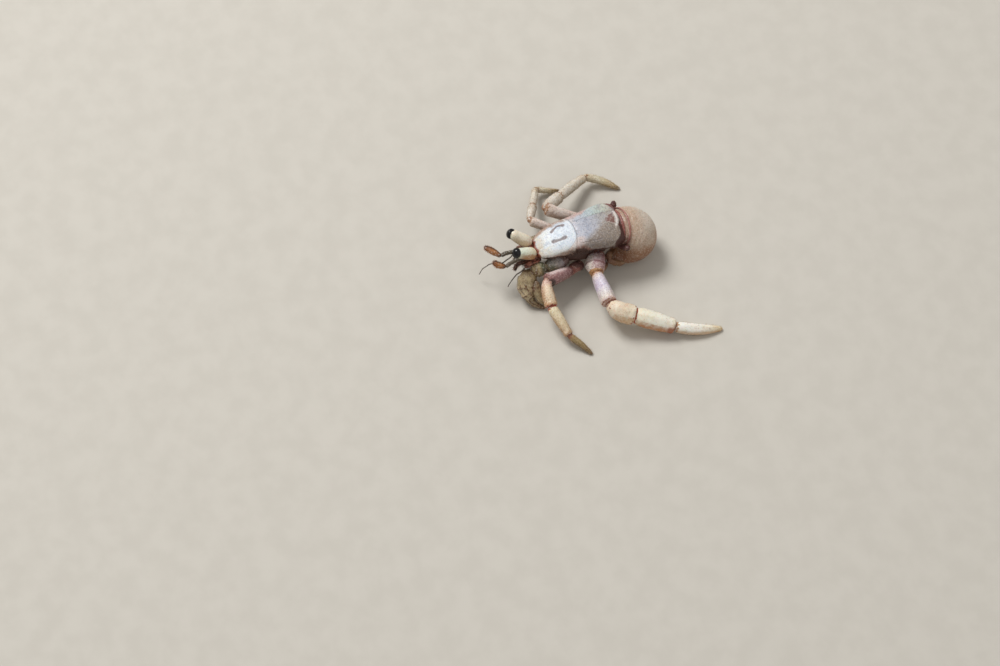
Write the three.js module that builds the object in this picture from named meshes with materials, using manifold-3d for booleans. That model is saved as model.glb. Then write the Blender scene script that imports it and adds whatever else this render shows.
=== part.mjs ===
// A small land hermit crab out of its shell, life size: the calcified front half with its
// walking legs spread, and the soft abdomen curled under behind it. Millimetres, +Z up.
// The head points to -Y and the crab's left is +X. The floor is z = 0, and the origin is
// the spot where the abdomen rests on it.

import * as THREE from 'three';
import { mergeVertices } from 'three/addons/utils/BufferGeometryUtils.js';
import Module from 'manifold-3d';

const wasm = await Module();
wasm.setup();

// ---------------------------------------------------------------- driving dimensions

const GAP = 0.08; // clearance between pieces that meet
const MID_X = -1.05; // the front body's middle plane
const WELD = 1e-5; // vertices closer than this are one
const SMOOTH = 0.03; // facets that change a surface by less than this are dropped
const TALL = 12; // more than the height of the whole crab

// Shield and hind carapace, from the front margin to the hind margin
const CARAPACE_FRONT = -13.25;
const CARAPACE_REAR = -1.1;
const CARAPACE_HALF_WIDTHS = [1.4, 2.02, 2.4, 2.52, 2.62, 2.85, 3.1, 3.2, 2.75];
const CARAPACE_TOPS = [5.3, 6.05, 6.5, 6.75, 6.9, 6.95, 7.0, 6.9, 6.6];
const CARAPACE_UNDERSIDES = [4.3, 4.2, 4.05, 3.95, 3.95, 3.9, 3.8, 3.8, 4.1];
const CARAPACE_BEAM_LEVEL = 0.6; // how far up a section is widest
const CARAPACE_SHOULDER = 0.72; // under 1 makes the domed top squarer
const CARAPACE_BLUNTNESS = 0.06;
const GROOVE_Y = -7.5; // cervical groove, on the middle line
const GROOVE_BOW = 1.6; // how far its ends run forward at the flanks
const SEAM_X = 1.05; // the seams beside the heart region, from the middle line
const SEAM_BOW = 0.5;
const WALL_STEPS = 8; // straight stretches in a parting wall

// Thorax, the block under the carapace that carries the legs
const THORAX_FRONT = -12.7;
const THORAX_REAR = -2.3;
const THORAX_HALF_WIDTHS = [0.9, 1.55, 2.35, 2.75, 2.5, 1.4];
const THORAX_TOP = 4.6;
const THORAX_BEAM_LEVEL = 0.4;
const THORAX_SHOULDER = 1;
const THORAX_BLUNTNESS = 0.1;
const THORAX_UNDERSIDES = [2.9, 2.4, 2.35, 2.4, 2.6];

// Abdomen, a ball whose sections fan out from a pivot in the bend under the waist
const BALL_RADIUS = 3.4;
const BALL_CENTRE_Z = 3.34;
const PIVOT_Y = -2.7;
const PIVOT_Z = 2.75;
const CREASE = 0.22; // open bend left round the pivot
const FAN_START = 82; // degrees above the floor, at the waist
const FAN_END = -90; // degrees, where the tail runs forward again
const FAN_SHARE = 0.85; // share of the line that the fan takes
const TAIL_RUN = 1.5; // straight stretch under the body
const TAIL_TAPER = 0.35; // how much thinner the tail ends
const WAIST_RISE = 0.4; // the waist meets the carapace a little above the ball
const WAIST_ANGLES = [45, 85]; // degrees, over which it rises
const ABDOMEN_ENDS = [0.05, 0.09]; // shares over which the two ends close
const ABDOMEN_HALF_WIDTHS = [2.4, 2.85, 3.3, 3.4, 3.2, 2.55, 1.7, 1.15, 0.9];
const ABDOMEN_MIDDLES = [-0.85, -0.55, -0.15, 0, 0.05, 0.4, 0.95, 1.3, 1.35];
const ABDOMEN_CUTS = [50, -18]; // degrees, where the three lengths part

// Hard bands over the front of the abdomen
const BAND_THICKNESS = 0.32;
const BAND_CLEARANCE = 0.1; // between the flesh and the band over it
const BAND_LOW_EDGE = 3.9;
const BANDS = [
  { name: 'tergite_1', from: 72.5, to: 67.5 },
  { name: 'tergite_2', from: 64, to: 57.5 },
];

// Facets round and along each kind of piece
const BODY_FACETS = { sides: 18, rings: 13 };
const THORAX_FACETS = { sides: 10, rings: 7 };
const ABDOMEN_FACETS = { sides: 18, rings: 16 };
const LIMB_FACETS = { sides: 9, rings: 7 };
const SLIM_FACETS = { sides: 8, rings: 7 };
const SMALL_FACETS = { sides: 7, rings: 6 };
const FEELER_FACETS = { sides: 6, rings: 7 };
const BLUNT_ENDS = [0.14, 0.14]; // shares over which a piece's two ends close

// Colours of the finished surfaces
const COLOURS = {
  shield: 0xd5dae2,
  heart: 0xbfc3cf,
  gill: 0xb9aca4,
  thorax: 0x8a5a50,
  band: 0xa8695f,
  flesh: 0xcdaa90,
  leg: 0xe2cfb8,
  pink: 0xcfaaa8,
  mauve: 0x9c7a74,
  claw: 0xb09468,
  pale: 0xd8cbbb,
  red: 0x8f4638,
  stalk: 0xe6dcb4,
  cornea: 0x0b0a0a,
  feeler: 0x4a3a22,
  club: 0xb55a1c,
};

// Walking legs. Headings are 0 ahead and 90 to the left; headings and rises are in degrees.
// A swing bows a piece to its own left. A dactyl has no rise: its tip comes down to the floor.
const TIP_SINK = 0.62; // height of a tip's middle, as a share of its half breadth
const SLIM = 1.6; // a piece broader than this has more facets
const LEG_SHAPES = {
  ischium: { swell: [0.8, 1.05, 1.12, 1.0], flat: 1.0, tuck: 0.4, round: [0.1, 0.055] },
  merus: { swell: [0.76, 0.9, 0.98, 1.06, 1.02], flat: 1.12, tuck: 0.35, round: [0.1, 0.055] },
  carpus: { swell: [0.6, 1.0, 1.12, 1.08], flat: 1.0, tuck: 0.3, round: [0.12, 0.055] },
  propodus: { swell: [0.88, 1.04, 1.02, 0.92, 0.76], flat: 0.98, tuck: 0.3, round: [0.08, 0.055] },
  dactyl: { swell: [0.92, 1.0, 0.93, 0.75, 0.36], flat: 0.95, tuck: 0.3, round: [0.08, 0.06] },
};
const WALKING_LEGS = [
  {
    limb: 'leg_3_left',
    root: [1.1, -5.0, 2.9],
    parts: {
      ischium: {
        length: 3.6, breadth: 2.45, heading: 67.8, rise: 6.4, swing: -0.32, colour: COLOURS.pink,
      },
      merus: { length: 4.6, breadth: 1.98, heading: 91.2, rise: -1.3, colour: COLOURS.pink },
      carpus: {
        length: 3.6, breadth: 2.45, heading: 141.3, rise: -14.4, swing: -0.38, colour: COLOURS.leg,
      },
      propodus: { length: 5.55, breadth: 2.42, heading: 149.6, rise: -12, colour: COLOURS.leg },
      dactyl: { length: 6.27, breadth: 1.6, heading: 164.1, swing: -0.25, colour: COLOURS.leg },
    },
  },
  {
    limb: 'leg_3_right',
    root: [-2.9, -4.8, 2.8],
    parts: {
      ischium: { length: 1.8, breadth: 1.5, heading: -68, rise: 13, colour: COLOURS.pink },
      merus: { length: 5.0, breadth: 1.55, heading: -27, rise: 17, swing: 0.1, colour: COLOURS.pale },
      carpus: { length: 3.5, breadth: 1.5, heading: -147, rise: -20, colour: COLOURS.pale },
      propodus: {
        length: 5.85, breadth: 1.4, heading: -148, rise: -19, swing: 0.1, colour: COLOURS.pale,
      },
      dactyl: { length: 5.1, breadth: 1.1, heading: 149.5, swing: 0.35, colour: COLOURS.leg },
    },
  },
  {
    limb: 'leg_2_left',
    root: [1.7, -7.7, 2.35],
    parts: {
      ischium: { length: 1.8, breadth: 1.5, heading: 23.6, rise: 15, colour: COLOURS.mauve },
      merus: { length: 4.03, breadth: 1.75, heading: 15.4, rise: 14.2, colour: COLOURS.mauve },
      carpus: {
        length: 3.6, breadth: 1.55, heading: 83.3, rise: -15.9, swing: -0.1, colour: COLOURS.leg,
      },
      propodus: { length: 4.4, breadth: 1.42, heading: 105, rise: -18.5, colour: COLOURS.leg },
      dactyl: { length: 3.85, breadth: 0.92, heading: 127, swing: 0.1, colour: COLOURS.leg },
    },
  },
  {
    limb: 'leg_2_right',
    root: [-2.9, -7.6, 2.8],
    parts: {
      ischium: { length: 1.5, breadth: 1.2, heading: -34, rise: 15, colour: COLOURS.pink },
      merus: { length: 4.0, breadth: 1.2, heading: -37, rise: 7, colour: COLOURS.pale },
      carpus: { length: 3.0, breadth: 1.08, heading: -117.5, rise: -15.5, colour: COLOURS.pale },
      propodus: { length: 4.05, breadth: 0.98, heading: -115.5, rise: -23.5, colour: COLOURS.pale },
      dactyl: { length: 3.5, breadth: 0.8, heading: 171, swing: -0.2, colour: COLOURS.leg },
    },
  },
];

// Clawed legs: the left one hangs in front with its back outward, the right one is smaller
const CLAWS = [
  {
    limb: 'claw_left',
    colours: { arm: COLOURS.mauve, claw: COLOURS.claw },
    arm: {
      points: [[0.4, -8.7, 3.0], [1.0, -10.5, 3.3], [1.3, -12.4, 3.5]],
      width: [1.1, 1.7, 2.0, 1.8],
      depth: [1.3, 1.7, 1.9, 1.7],
    },
    wrist: {
      points: [[1.3, -12.1, 3.45], [1.25, -13.2, 3.5], [0.95, -14.3, 3.35]],
      width: [1.1, 1.75, 1.9, 1.7],
      depth: [1.2, 1.9, 2.0, 1.8],
      round: [0.2, 0.2],
    },
    palm: {
      points: [[0.95, -13.9, 3.3], [1.75, -15.1, 2.45], [3.1, -15.35, 1.6], [3.9, -14.95, 1.2]],
      width: [1.5, 2.35, 2.6, 2.3, 1.6],
      depth: [1.7, 2.7, 2.9, 2.4, 1.5],
      round: [0.2, 0.2],
    },
    finger: {
      points: [[3.0, -15.5, 1.15], [4.3, -15.0, 0.62], [5.25, -13.7, 0.16]],
      width: [1.5, 1.15, 0.75, 0.42],
      depth: [1.1, 0.95, 0.75, 0.42],
      round: [0.2, 0.08],
      facets: SMALL_FACETS,
    },
    mover: {
      points: [[2.25, -14.1, 2.85], [3.65, -14.3, 2.1], [4.5, -14.15, 1.4], [5.1, -13.5, 0.85]],
      width: [0.9, 1.3, 1.15, 0.8, 0.42],
      depth: [0.9, 1.1, 1.0, 0.75, 0.42],
      round: [0.15, 0.08],
      facets: SMALL_FACETS,
    },
  },
  {
    limb: 'claw_right',
    colours: { arm: COLOURS.pale, claw: COLOURS.claw },
    arm: {
      points: [[-2.3, -8.8, 3.0], [-2.95, -10.4, 3.2], [-3.25, -11.7, 3.3]],
      width: [0.9, 1.2, 1.35, 1.25],
      depth: [1.1, 1.4, 1.5, 1.3],
      facets: SLIM_FACETS,
    },
    wrist: {
      points: [[-3.25, -11.4, 3.25], [-3.2, -12.3, 3.2], [-2.9, -13.2, 2.9]],
      width: [0.9, 1.35, 1.45, 1.25],
      depth: [1.0, 1.5, 1.5, 1.3],
      round: [0.2, 0.2],
      facets: SLIM_FACETS,
    },
    palm: {
      points: [[-2.95, -12.85, 2.95], [-2.9, -13.75, 2.2], [-2.8, -14.05, 1.5]],
      width: [1.2, 1.75, 1.7, 1.3],
      depth: [1.2, 1.75, 1.6, 1.2],
      round: [0.2, 0.2],
      facets: SLIM_FACETS,
    },
    finger: {
      points: [[-2.85, -14.0, 1.8], [-2.75, -14.4, 1.0], [-2.5, -14.35, 0.0]],
      width: [1.0, 0.8, 0.5],
      depth: [0.8, 0.7, 0.45],
      round: [0.2, 0.1],
      facets: SMALL_FACETS,
    },
    mover: {
      points: [[-2.65, -13.6, 1.5], [-2.5, -13.75, 0.9], [-2.4, -13.95, 0.35]],
      width: [0.75, 0.7, 0.45],
      depth: [0.6, 0.6, 0.4],
      round: [0.15, 0.1],
      facets: SMALL_FACETS,
    },
  },
];

// The segment that carries the eyes, and the stalked eyes
const EYE_SEGMENT = {
  name: 'eye_segment',
  colour: COLOURS.red,
  points: [[-2.25, -13.45, 4.75], [MID_X, -13.75, 4.95], [0.55, -13.45, 4.75]],
  width: [0.9, 1.3, 1.4, 1.3, 0.9],
  depth: [0.8, 1.1, 1.2, 1.1, 0.8],
  round: [0.1, 0.1],
};
const EYES = [
  { hand: 'left', base: [-0.3, -13.1, 4.9], tip: [-0.42, -16.3, 6.62] },
  { hand: 'right', base: [-1.85, -13.1, 4.95], tip: [-3.3, -16.05, 7.25] },
];
const STALK_WIDTHS = [1.5, 1.76, 1.62, 1.4];
const CORNEA_LENGTH = 0.98;
const CORNEA_WIDTH = 1.42;
const CORNEA_ENDS = [0.25, 0.6]; // shares over which its two ends close

// Both pairs of feelers and the mouth limbs, each with a round section
const FEELER_SHAPE = { round: [0.06, 0.05], facets: FEELER_FACETS };
const FEELERS = [
  {
    name: 'antennule_club_left',
    colour: COLOURS.club,
    width: [0.5, 0.82, 0.8, 0.5],
    points: [[-0.1, -17.35, 4.35], [-0.4, -18.1, 4.5], [-1.0, -18.8, 4.8]],
  },
  {
    name: 'antennule_stalk_left',
    colour: COLOURS.feeler,
    width: [0.62, 0.55, 0.5, 0.5],
    points: [[-0.5, -13.7, 4.1], [-0.5, -15.4, 4.5], [-0.25, -16.6, 4.55], [0, -17.5, 4.4]],
  },
  {
    name: 'antennule_club_right',
    colour: COLOURS.club,
    width: [0.5, 0.82, 0.8, 0.5],
    points: [[-1.3, -17.6, 5.15], [-2.2, -18.4, 5.35], [-3.1, -19.3, 5.6]],
  },
  {
    name: 'antennule_stalk_right',
    colour: COLOURS.feeler,
    width: [0.62, 0.55, 0.5, 0.5],
    points: [[-1.3, -13.7, 4.1], [-1.5, -15.4, 4.8], [-1.5, -16.7, 5.2], [-1.35, -17.75, 5.2]],
  },
  {
    name: 'antenna_left',
    colour: COLOURS.feeler,
    width: [0.52, 0.5, 0.5, 0.5],
    points: [[0.62, -14.9, 3.95], [0.95, -16.1, 3.55], [1.2, -17.0, 2.6], [1.35, -17.6, 1.5]],
  },
  {
    name: 'antenna_right',
    colour: COLOURS.feeler,
    width: [0.52, 0.5, 0.5, 0.5],
    points: [
      [-2.3, -15.0, 4.0], [-1.7, -16.0, 3.7], [-1.2, -17.2, 3.5], [-1.7, -18.6, 3.4],
      [-1.92, -19.75, 2.5], [-1.92, -20.5, 1.1],
    ],
  },
  {
    name: 'antenna_base_left',
    colour: COLOURS.red,
    width: [0.9, 0.95, 0.8, 0.6],
    points: [[0.35, -12.9, 4.05], [0.5, -14.0, 4.2], [0.6, -15.1, 4.0]],
  },
  {
    name: 'antenna_base_right',
    colour: COLOURS.red,
    width: [0.9, 0.95, 0.8, 0.6],
    points: [[-2.1, -12.9, 4.05], [-2.3, -14.0, 4.2], [-2.3, -15.2, 4.05]],
  },
  {
    name: 'mouth_limb_left',
    colour: COLOURS.red,
    width: [0.9, 0.85, 0.7, 0.5],
    points: [[-0.4, -12.3, 3.2], [-0.45, -14.2, 3.55], [-0.45, -15.6, 3.6], [-0.3, -16.1, 2.3]],
  },
  {
    name: 'mouth_limb_right',
    colour: COLOURS.red,
    width: [0.9, 0.85, 0.7, 0.5],
    points: [[-1.4, -12.3, 3.2], [-1.35, -14.1, 3.5], [-1.4, -15.3, 3.5], [-1.5, -15.8, 2.6]],
  },
];

// The small hind legs, folded against the body
const SMALL_LEGS = [
  {
    name: 'leg_5_right',
    colour: COLOURS.band,
    points: [[-2.6, -2.4, 4.4], [-3.8, -1.2, 4.9], [-4.4, -0.9, 5.5]],
    width: [0.6, 0.7, 0.7, 0.95, 0.7],
    depth: [0.6, 0.65, 0.65, 0.8, 0.6],
    facets: SLIM_FACETS,
  },
  {
    name: 'leg_4_right',
    colour: COLOURS.mauve,
    points: [[-2.8, -3.2, 3.0], [-4.2, -3.6, 3.0], [-4.9, -2.5, 2.6], [-5.0, -1.4, 2.5]],
    width: [0.9, 0.95, 0.8, 0.75, 0.6],
    depth: [0.9, 0.95, 0.85, 0.9, 0.6],
    facets: SLIM_FACETS,
  },
  {
    name: 'leg_5_left',
    colour: COLOURS.band,
    points: [[0.9, -2.6, 4.2], [2.2, -2.0, 4.5], [3.0, -1.3, 5.1]],
    width: [0.6, 0.7, 0.7, 0.95, 0.7],
    depth: [0.6, 0.65, 0.65, 0.8, 0.6],
    facets: SLIM_FACETS,
  },
  {
    name: 'leg_4_left',
    colour: COLOURS.mauve,
    points: [[1.2, -3.4, 2.9], [2.3, -3.9, 2.6], [3.0, -2.9, 2.2], [3.1, -1.9, 2.2]],
    width: [0.9, 0.95, 0.8, 0.75, 0.6],
    depth: [0.9, 0.95, 0.85, 0.9, 0.6],
    facets: SLIM_FACETS,
  },
];

// The tail fan, tucked forward under the body
const TAIL_FAN = [
  {
    name: 'telson',
    colour: COLOURS.band,
    points: [[1.35, -3.95, 1.45], [1.3, -4.7, 1.35], [1.2, -5.5, 1.3]],
    width: [1.1, 1.2, 1.15, 0.8],
    depth: [0.9, 0.8, 0.7, 0.6],
    facets: SMALL_FACETS,
  },
  {
    name: 'uropod_left',
    colour: COLOURS.mauve,
    points: [[1.75, -4.0, 1.3], [2.4, -4.5, 1.1], [2.6, -5.7, 1.0]],
    width: [0.6, 0.75, 0.8, 0.6],
    depth: [0.6, 0.7, 0.7, 0.5],
    facets: SMALL_FACETS,
  },
  {
    name: 'uropod_right',
    colour: COLOURS.mauve,
    points: [[0.95, -4.0, 1.3], [0.3, -4.5, 1.1], [0.1, -5.3, 1.0]],
    width: [0.6, 0.75, 0.8, 0.6],
    depth: [0.6, 0.7, 0.7, 0.5],
    facets: SMALL_FACETS,
  },
];

const UP = new THREE.Vector3(0, 0, 1);
const UPRIGHT = Math.cos(radians(25)); // a line steeper than this needs another up
const NEAR_UPRIGHT_UP = new THREE.Vector3(0, -1, 0);

// ---------------------------------------------------------------- shape helpers

/** Degrees to radians. */
function radians(degrees) {
  return THREE.MathUtils.degToRad(degrees);
}

/** Radians to degrees. */
function degrees(angle) {
  return THREE.MathUtils.radToDeg(angle);
}

/** A smooth function of 0..1 through values spaced evenly. */
function profile(values) {
  const line = new THREE.SplineCurve(values.map((value, i) => new THREE.Vector2(i, value)));
  return (t) => line.getPoint(THREE.MathUtils.clamp(t, 0, 1)).y;
}

/** 0 at both ends and 1 between them, closing like an ellipse over the given shares. */
function closing(t, startShare, endShare) {
  const near = THREE.MathUtils.clamp(Math.min(t / startShare, (1 - t) / endShare), 0, 1);
  return Math.sqrt(1 - (1 - near) ** 2);
}

/** Turns a three.js geometry into a solid. */
function toSolid(geometry) {
  const bare = geometry.clone();
  bare.deleteAttribute('normal');
  bare.deleteAttribute('uv');
  const welded = mergeVertices(bare, WELD);
  const mesh = new wasm.Mesh({
    numProp: 3,
    vertProperties: new Float32Array(welded.attributes.position.array),
    triVerts: new Uint32Array(welded.index.array),
  });
  mesh.merge();
  return new wasm.Manifold(mesh);
}

/** Turns a solid back into a three.js geometry. */
function toGeometry(solid) {
  const mesh = solid.getMesh();
  const geometry = new THREE.BufferGeometry();
  geometry.setAttribute('position', new THREE.BufferAttribute(mesh.vertProperties, 3));
  geometry.setIndex(new THREE.BufferAttribute(mesh.triVerts, 1));
  geometry.computeVertexNormals();
  return geometry;
}

/** Wraps a ball round a line of sections, so that its poles become the two ends. */
function wrapBall({ sides, rings }, place) {
  const ball = new THREE.SphereGeometry(1, sides, rings);
  const points = ball.attributes.position;
  const point = new THREE.Vector3();
  for (let i = 0; i < points.count; i += 1) {
    point.fromBufferAttribute(points, i);
    const share = (1 - THREE.MathUtils.clamp(point.y, -1, 1)) / 2;
    const polar = Math.hypot(point.x, point.z);
    const across = polar > WELD ? point.x / polar : 0;
    const rise = polar > WELD ? point.z / polar : 0;
    place(share, across, rise, point);
    points.setXYZ(i, point.x, point.y, point.z);
  }
  return toSolid(ball);
}

/** The side and top directions of a section across a tangent. */
function sectionAxes(tangent) {
  const up = Math.abs(tangent.z) > UPRIGHT ? NEAR_UPRIGHT_UP : UP;
  const side = new THREE.Vector3().crossVectors(up, tangent).normalize();
  const top = new THREE.Vector3().crossVectors(tangent, side);
  return { side, top };
}

/** A rounded piece along a curve; its shape can be asked for a little larger all round. */
function taperedPiece({ curve, width, depth, round = BLUNT_ENDS, facets = LIMB_FACETS }) {
  const widthAt = profile(width);
  const depthAt = profile(depth);
  const length = curve.getLength();
  return (grow) => {
    const extra = grow / length;
    return wrapBall(facets, (share, across, rise, point) => {
      const along = share * (1 + 2 * extra) - extra;
      const inside = THREE.MathUtils.clamp(along, 0, 1);
      const tangent = curve.getTangentAt(inside).normalize();
      const { side, top } = sectionAxes(tangent);
      const close = closing(share, ...round);
      const half = close * (widthAt(inside) / 2 + grow);
      const tall = close * (depthAt(inside) / 2 + grow);
      point.copy(curve.getPointAt(inside));
      point.addScaledVector(tangent, (along - inside) * length);
      point.addScaledVector(side, half * across);
      point.addScaledVector(top, tall * rise);
    });
  };
}

/** A smooth curve through a few points. */
function bend(...points) {
  return new THREE.CatmullRomCurve3(points.map(([x, y, z]) => new THREE.Vector3(x, y, z)));
}

/** Only the main body of a solid, without crumbs that a cut has left loose. */
function mainBody(solid) {
  const bodies = solid.decompose();
  return bodies.reduce((best, body) => (body.volume() > best.volume() ? body : best));
}

/** Whether the boxes round two solids meet. */
function boxesMeet(one, other) {
  const a = one.boundingBox();
  const b = other.boundingBox();
  return [0, 1, 2].every((axis) => a.min[axis] < b.max[axis] && b.min[axis] < a.max[axis]);
}

// ---------------------------------------------------------------- carapace and thorax

/** Upright sections of the front body: domed on top, widest low down, tucked in below. */
function bodySections(sizes) {
  const { front, rear, halves, tops, undersides, level, shoulder, blunt, facets } = sizes;
  const halfAt = profile(halves);
  const topAt = profile(tops);
  const underAt = profile(undersides);
  return (grow) =>
    wrapBall(facets, (share, across, rise, point) => {
      const close = closing(share, blunt, blunt);
      const low = underAt(share);
      const middle = low + level * (topAt(share) - low);
      const tall = rise > 0 ? topAt(share) - middle : middle - low;
      const wide = Math.sign(across) * Math.abs(across) ** shoulder;
      const high = rise > 0 ? rise ** shoulder : rise;
      point.set(
        MID_X - wide * close * (halfAt(share) + grow),
        THREE.MathUtils.lerp(front - grow, rear + grow, share),
        middle + high * close * (tall + grow),
      );
    });
}

const carapaceShape = bodySections({
  front: CARAPACE_FRONT,
  rear: CARAPACE_REAR,
  halves: CARAPACE_HALF_WIDTHS,
  tops: CARAPACE_TOPS,
  undersides: CARAPACE_UNDERSIDES,
  level: CARAPACE_BEAM_LEVEL,
  shoulder: CARAPACE_SHOULDER,
  blunt: CARAPACE_BLUNTNESS,
  facets: BODY_FACETS,
});

const thoraxShape = bodySections({
  front: THORAX_FRONT,
  rear: THORAX_REAR,
  halves: THORAX_HALF_WIDTHS,
  tops: [THORAX_TOP, THORAX_TOP],
  undersides: THORAX_UNDERSIDES,
  level: THORAX_BEAM_LEVEL,
  shoulder: THORAX_SHOULDER,
  blunt: THORAX_BLUNTNESS,
  facets: THORAX_FACETS,
});

/** A thin upright wall that stands along a curve in plan, to part what it passes through. */
function wallAlong(curve) {
  const edge = (offset) =>
    Array.from({ length: WALL_STEPS + 1 }, (_, i) => {
      const tangent = curve.getTangent(i / WALL_STEPS);
      const point = curve.getPoint(i / WALL_STEPS);
      return point.add(new THREE.Vector2(-tangent.y, tangent.x).multiplyScalar(offset));
    });
  const outline = new THREE.Shape([...edge(GAP / 2), ...edge(-GAP / 2).reverse()]);
  return toSolid(new THREE.ExtrudeGeometry(outline, { depth: TALL, bevelEnabled: false }));
}

/** The carapace parted by the cervical groove and by a seam on each side of the heart. */
function carapacePlates() {
  const beyond = 2 * CARAPACE_HALF_WIDTHS.at(-1);
  const groove = new THREE.QuadraticBezierCurve(
    new THREE.Vector2(MID_X - beyond, GROOVE_Y - 2 * GROOVE_BOW),
    new THREE.Vector2(MID_X, GROOVE_Y + 2 * GROOVE_BOW),
    new THREE.Vector2(MID_X + beyond, GROOVE_Y - 2 * GROOVE_BOW),
  );
  const seam = (side) =>
    new THREE.QuadraticBezierCurve(
      new THREE.Vector2(MID_X + side * SEAM_X, GROOVE_Y - GROOVE_BOW),
      new THREE.Vector2(MID_X + side * (SEAM_X + SEAM_BOW), GROOVE_Y / 2),
      new THREE.Vector2(MID_X + side * SEAM_X, 0),
    );
  const frontY = (solid) => solid.boundingBox().min[1];
  const parted = carapaceShape(0).subtract(wallAlong(groove));
  const [front, hind] = parted.decompose().sort((a, b) => frontY(a) - frontY(b));
  const hindParts = [-1, 1].reduce((left, side) => left.subtract(wallAlong(seam(side))), hind);
  const middleX = (solid) => solid.boundingBox().min[0] + solid.boundingBox().max[0];
  const [gillRight, heart, gillLeft] = hindParts
    .decompose()
    .sort((a, b) => b.volume() - a.volume())
    .slice(0, 3)
    .sort((a, b) => middleX(a) - middleX(b));
  return [
    { name: 'shield', colour: COLOURS.shield, solid: front },
    { name: 'carapace_heart', colour: COLOURS.heart, solid: heart },
    { name: 'carapace_gill_left', colour: COLOURS.gill, solid: gillLeft },
    { name: 'carapace_gill_right', colour: COLOURS.gill, solid: gillRight },
  ];
}

// ---------------------------------------------------------------- limbs

/** The unit direction of a heading (0 ahead, 90 to the left) and a rise, in degrees. */
function direction(heading, rise) {
  const flat = Math.cos(radians(rise));
  return new THREE.Vector3(
    flat * Math.sin(radians(heading)),
    -flat * Math.cos(radians(heading)),
    Math.sin(radians(rise)),
  );
}

/**
 * The pieces of a limb, listed from the tip inwards. Each piece starts a little inside the
 * one before it, and `swing` bows its middle to the side.
 */
function limbPieces(limb, root, pieces) {
  let joint = new THREE.Vector3(...root);
  const made = pieces.map((piece) => {
    const { name, length, heading, rise, width, depth, tuck, swing, round, facets } = piece;
    const ahead = direction(heading, rise);
    const start = joint.clone().addScaledVector(ahead, -tuck);
    const end = joint.clone().addScaledVector(ahead, length);
    const middle = start.clone().lerp(end, 0.5);
    middle.addScaledVector(direction(heading + 90, 0), swing);
    joint = end;
    const curve = new THREE.CatmullRomCurve3([start, middle, end]);
    const shape = taperedPiece({ curve, width, depth, round, facets });
    return { name: `${limb}_${name}`, colour: piece.colour, shape };
  });
  return made.reverse();
}

/** A walking leg: ischium, merus, carpus, propodus and the pointed dactyl. */
function walkingLeg({ limb, root, parts }) {
  let height = root[2];
  const made = Object.entries(parts).map(([name, part]) => {
    const { swell, flat, tuck, round } = LEG_SHAPES[name];
    const tipLevel = TIP_SINK * swell.at(-1) * (part.breadth / 2);
    const rise = part.rise ?? degrees(Math.asin((tipLevel - height) / part.length));
    height += part.length * Math.sin(radians(rise));
    const width = swell.map((share) => share * part.breadth);
    const depth = width.map((value) => value * flat);
    const facets = part.breadth > SLIM ? LIMB_FACETS : SLIM_FACETS;
    return { swing: 0, ...part, name, rise, width, depth, tuck, round, facets };
  });
  return limbPieces(limb, root, made);
}

// ---------------------------------------------------------------- claws

/** A clawed leg: its arm and wrist, then a palm with one fixed and one moving finger. */
function clawedLeg({ limb, colours, arm, wrist, palm, finger, mover }) {
  const piece = (name, colour, sizes) => listedPiece({ name: `${limb}_${name}`, colour, ...sizes });
  const handPiece = piece('palm', colours.claw, palm);
  const fixedFinger = piece('finger', colours.claw, finger);
  return [
    piece('dactyl', colours.claw, mover),
    { ...handPiece, shape: (grow) => handPiece.shape(grow).add(fixedFinger.shape(grow)) },
    piece('carpus', colours.arm, wrist),
    piece('merus', colours.arm, arm),
  ];
}

// ---------------------------------------------------------------- head

/** A stalked eye: the cream stalk and the black cornea capping it. */
function stalkedEye({ hand, base, tip }) {
  const from = new THREE.Vector3(...base);
  const to = new THREE.Vector3(...tip);
  const ahead = to.clone().sub(from).normalize();
  const corneaBack = to.clone().addScaledVector(ahead, -CORNEA_LENGTH);
  const stalkEnd = to.clone().addScaledVector(ahead, -CORNEA_LENGTH / 2);
  const cornea = taperedPiece({
    curve: new THREE.LineCurve3(corneaBack, to),
    width: [CORNEA_WIDTH, CORNEA_WIDTH],
    depth: [CORNEA_WIDTH, CORNEA_WIDTH],
    round: CORNEA_ENDS,
    facets: LIMB_FACETS,
  });
  const stalk = taperedPiece({
    curve: new THREE.LineCurve3(from, stalkEnd),
    width: STALK_WIDTHS,
    depth: STALK_WIDTHS,
    facets: SLIM_FACETS,
  });
  return [
    { name: `eye_${hand}`, colour: COLOURS.cornea, shape: cornea },
    { name: `eye_stalk_${hand}`, colour: COLOURS.stalk, shape: stalk },
  ];
}

/** A piece listed in the tables, named and coloured, along a smooth curve through its points. */
function listedPiece({ name, colour, points, ...sizes }) {
  return { name, colour, shape: taperedPiece({ curve: bend(...points), ...sizes }) };
}

// ---------------------------------------------------------------- abdomen

/** How far the abdomen's skin lies from the pivot at an angle above the floor. */
function skinReach(angle) {
  const back = Math.cos(radians(angle));
  const up = Math.sin(radians(angle));
  const towards = -(PIVOT_Y * back + (PIVOT_Z - BALL_CENTRE_Z) * up);
  const away = PIVOT_Y ** 2 + (PIVOT_Z - BALL_CENTRE_Z) ** 2 - BALL_RADIUS ** 2;
  const ball = towards + Math.sqrt(towards ** 2 - away);
  const waist = THREE.MathUtils.smoothstep(angle, ...WAIST_ANGLES) * WAIST_RISE;
  return ball + waist;
}

const halfWidthAt = profile(ABDOMEN_HALF_WIDTHS);
const middleAt = profile(ABDOMEN_MIDDLES);

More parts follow.
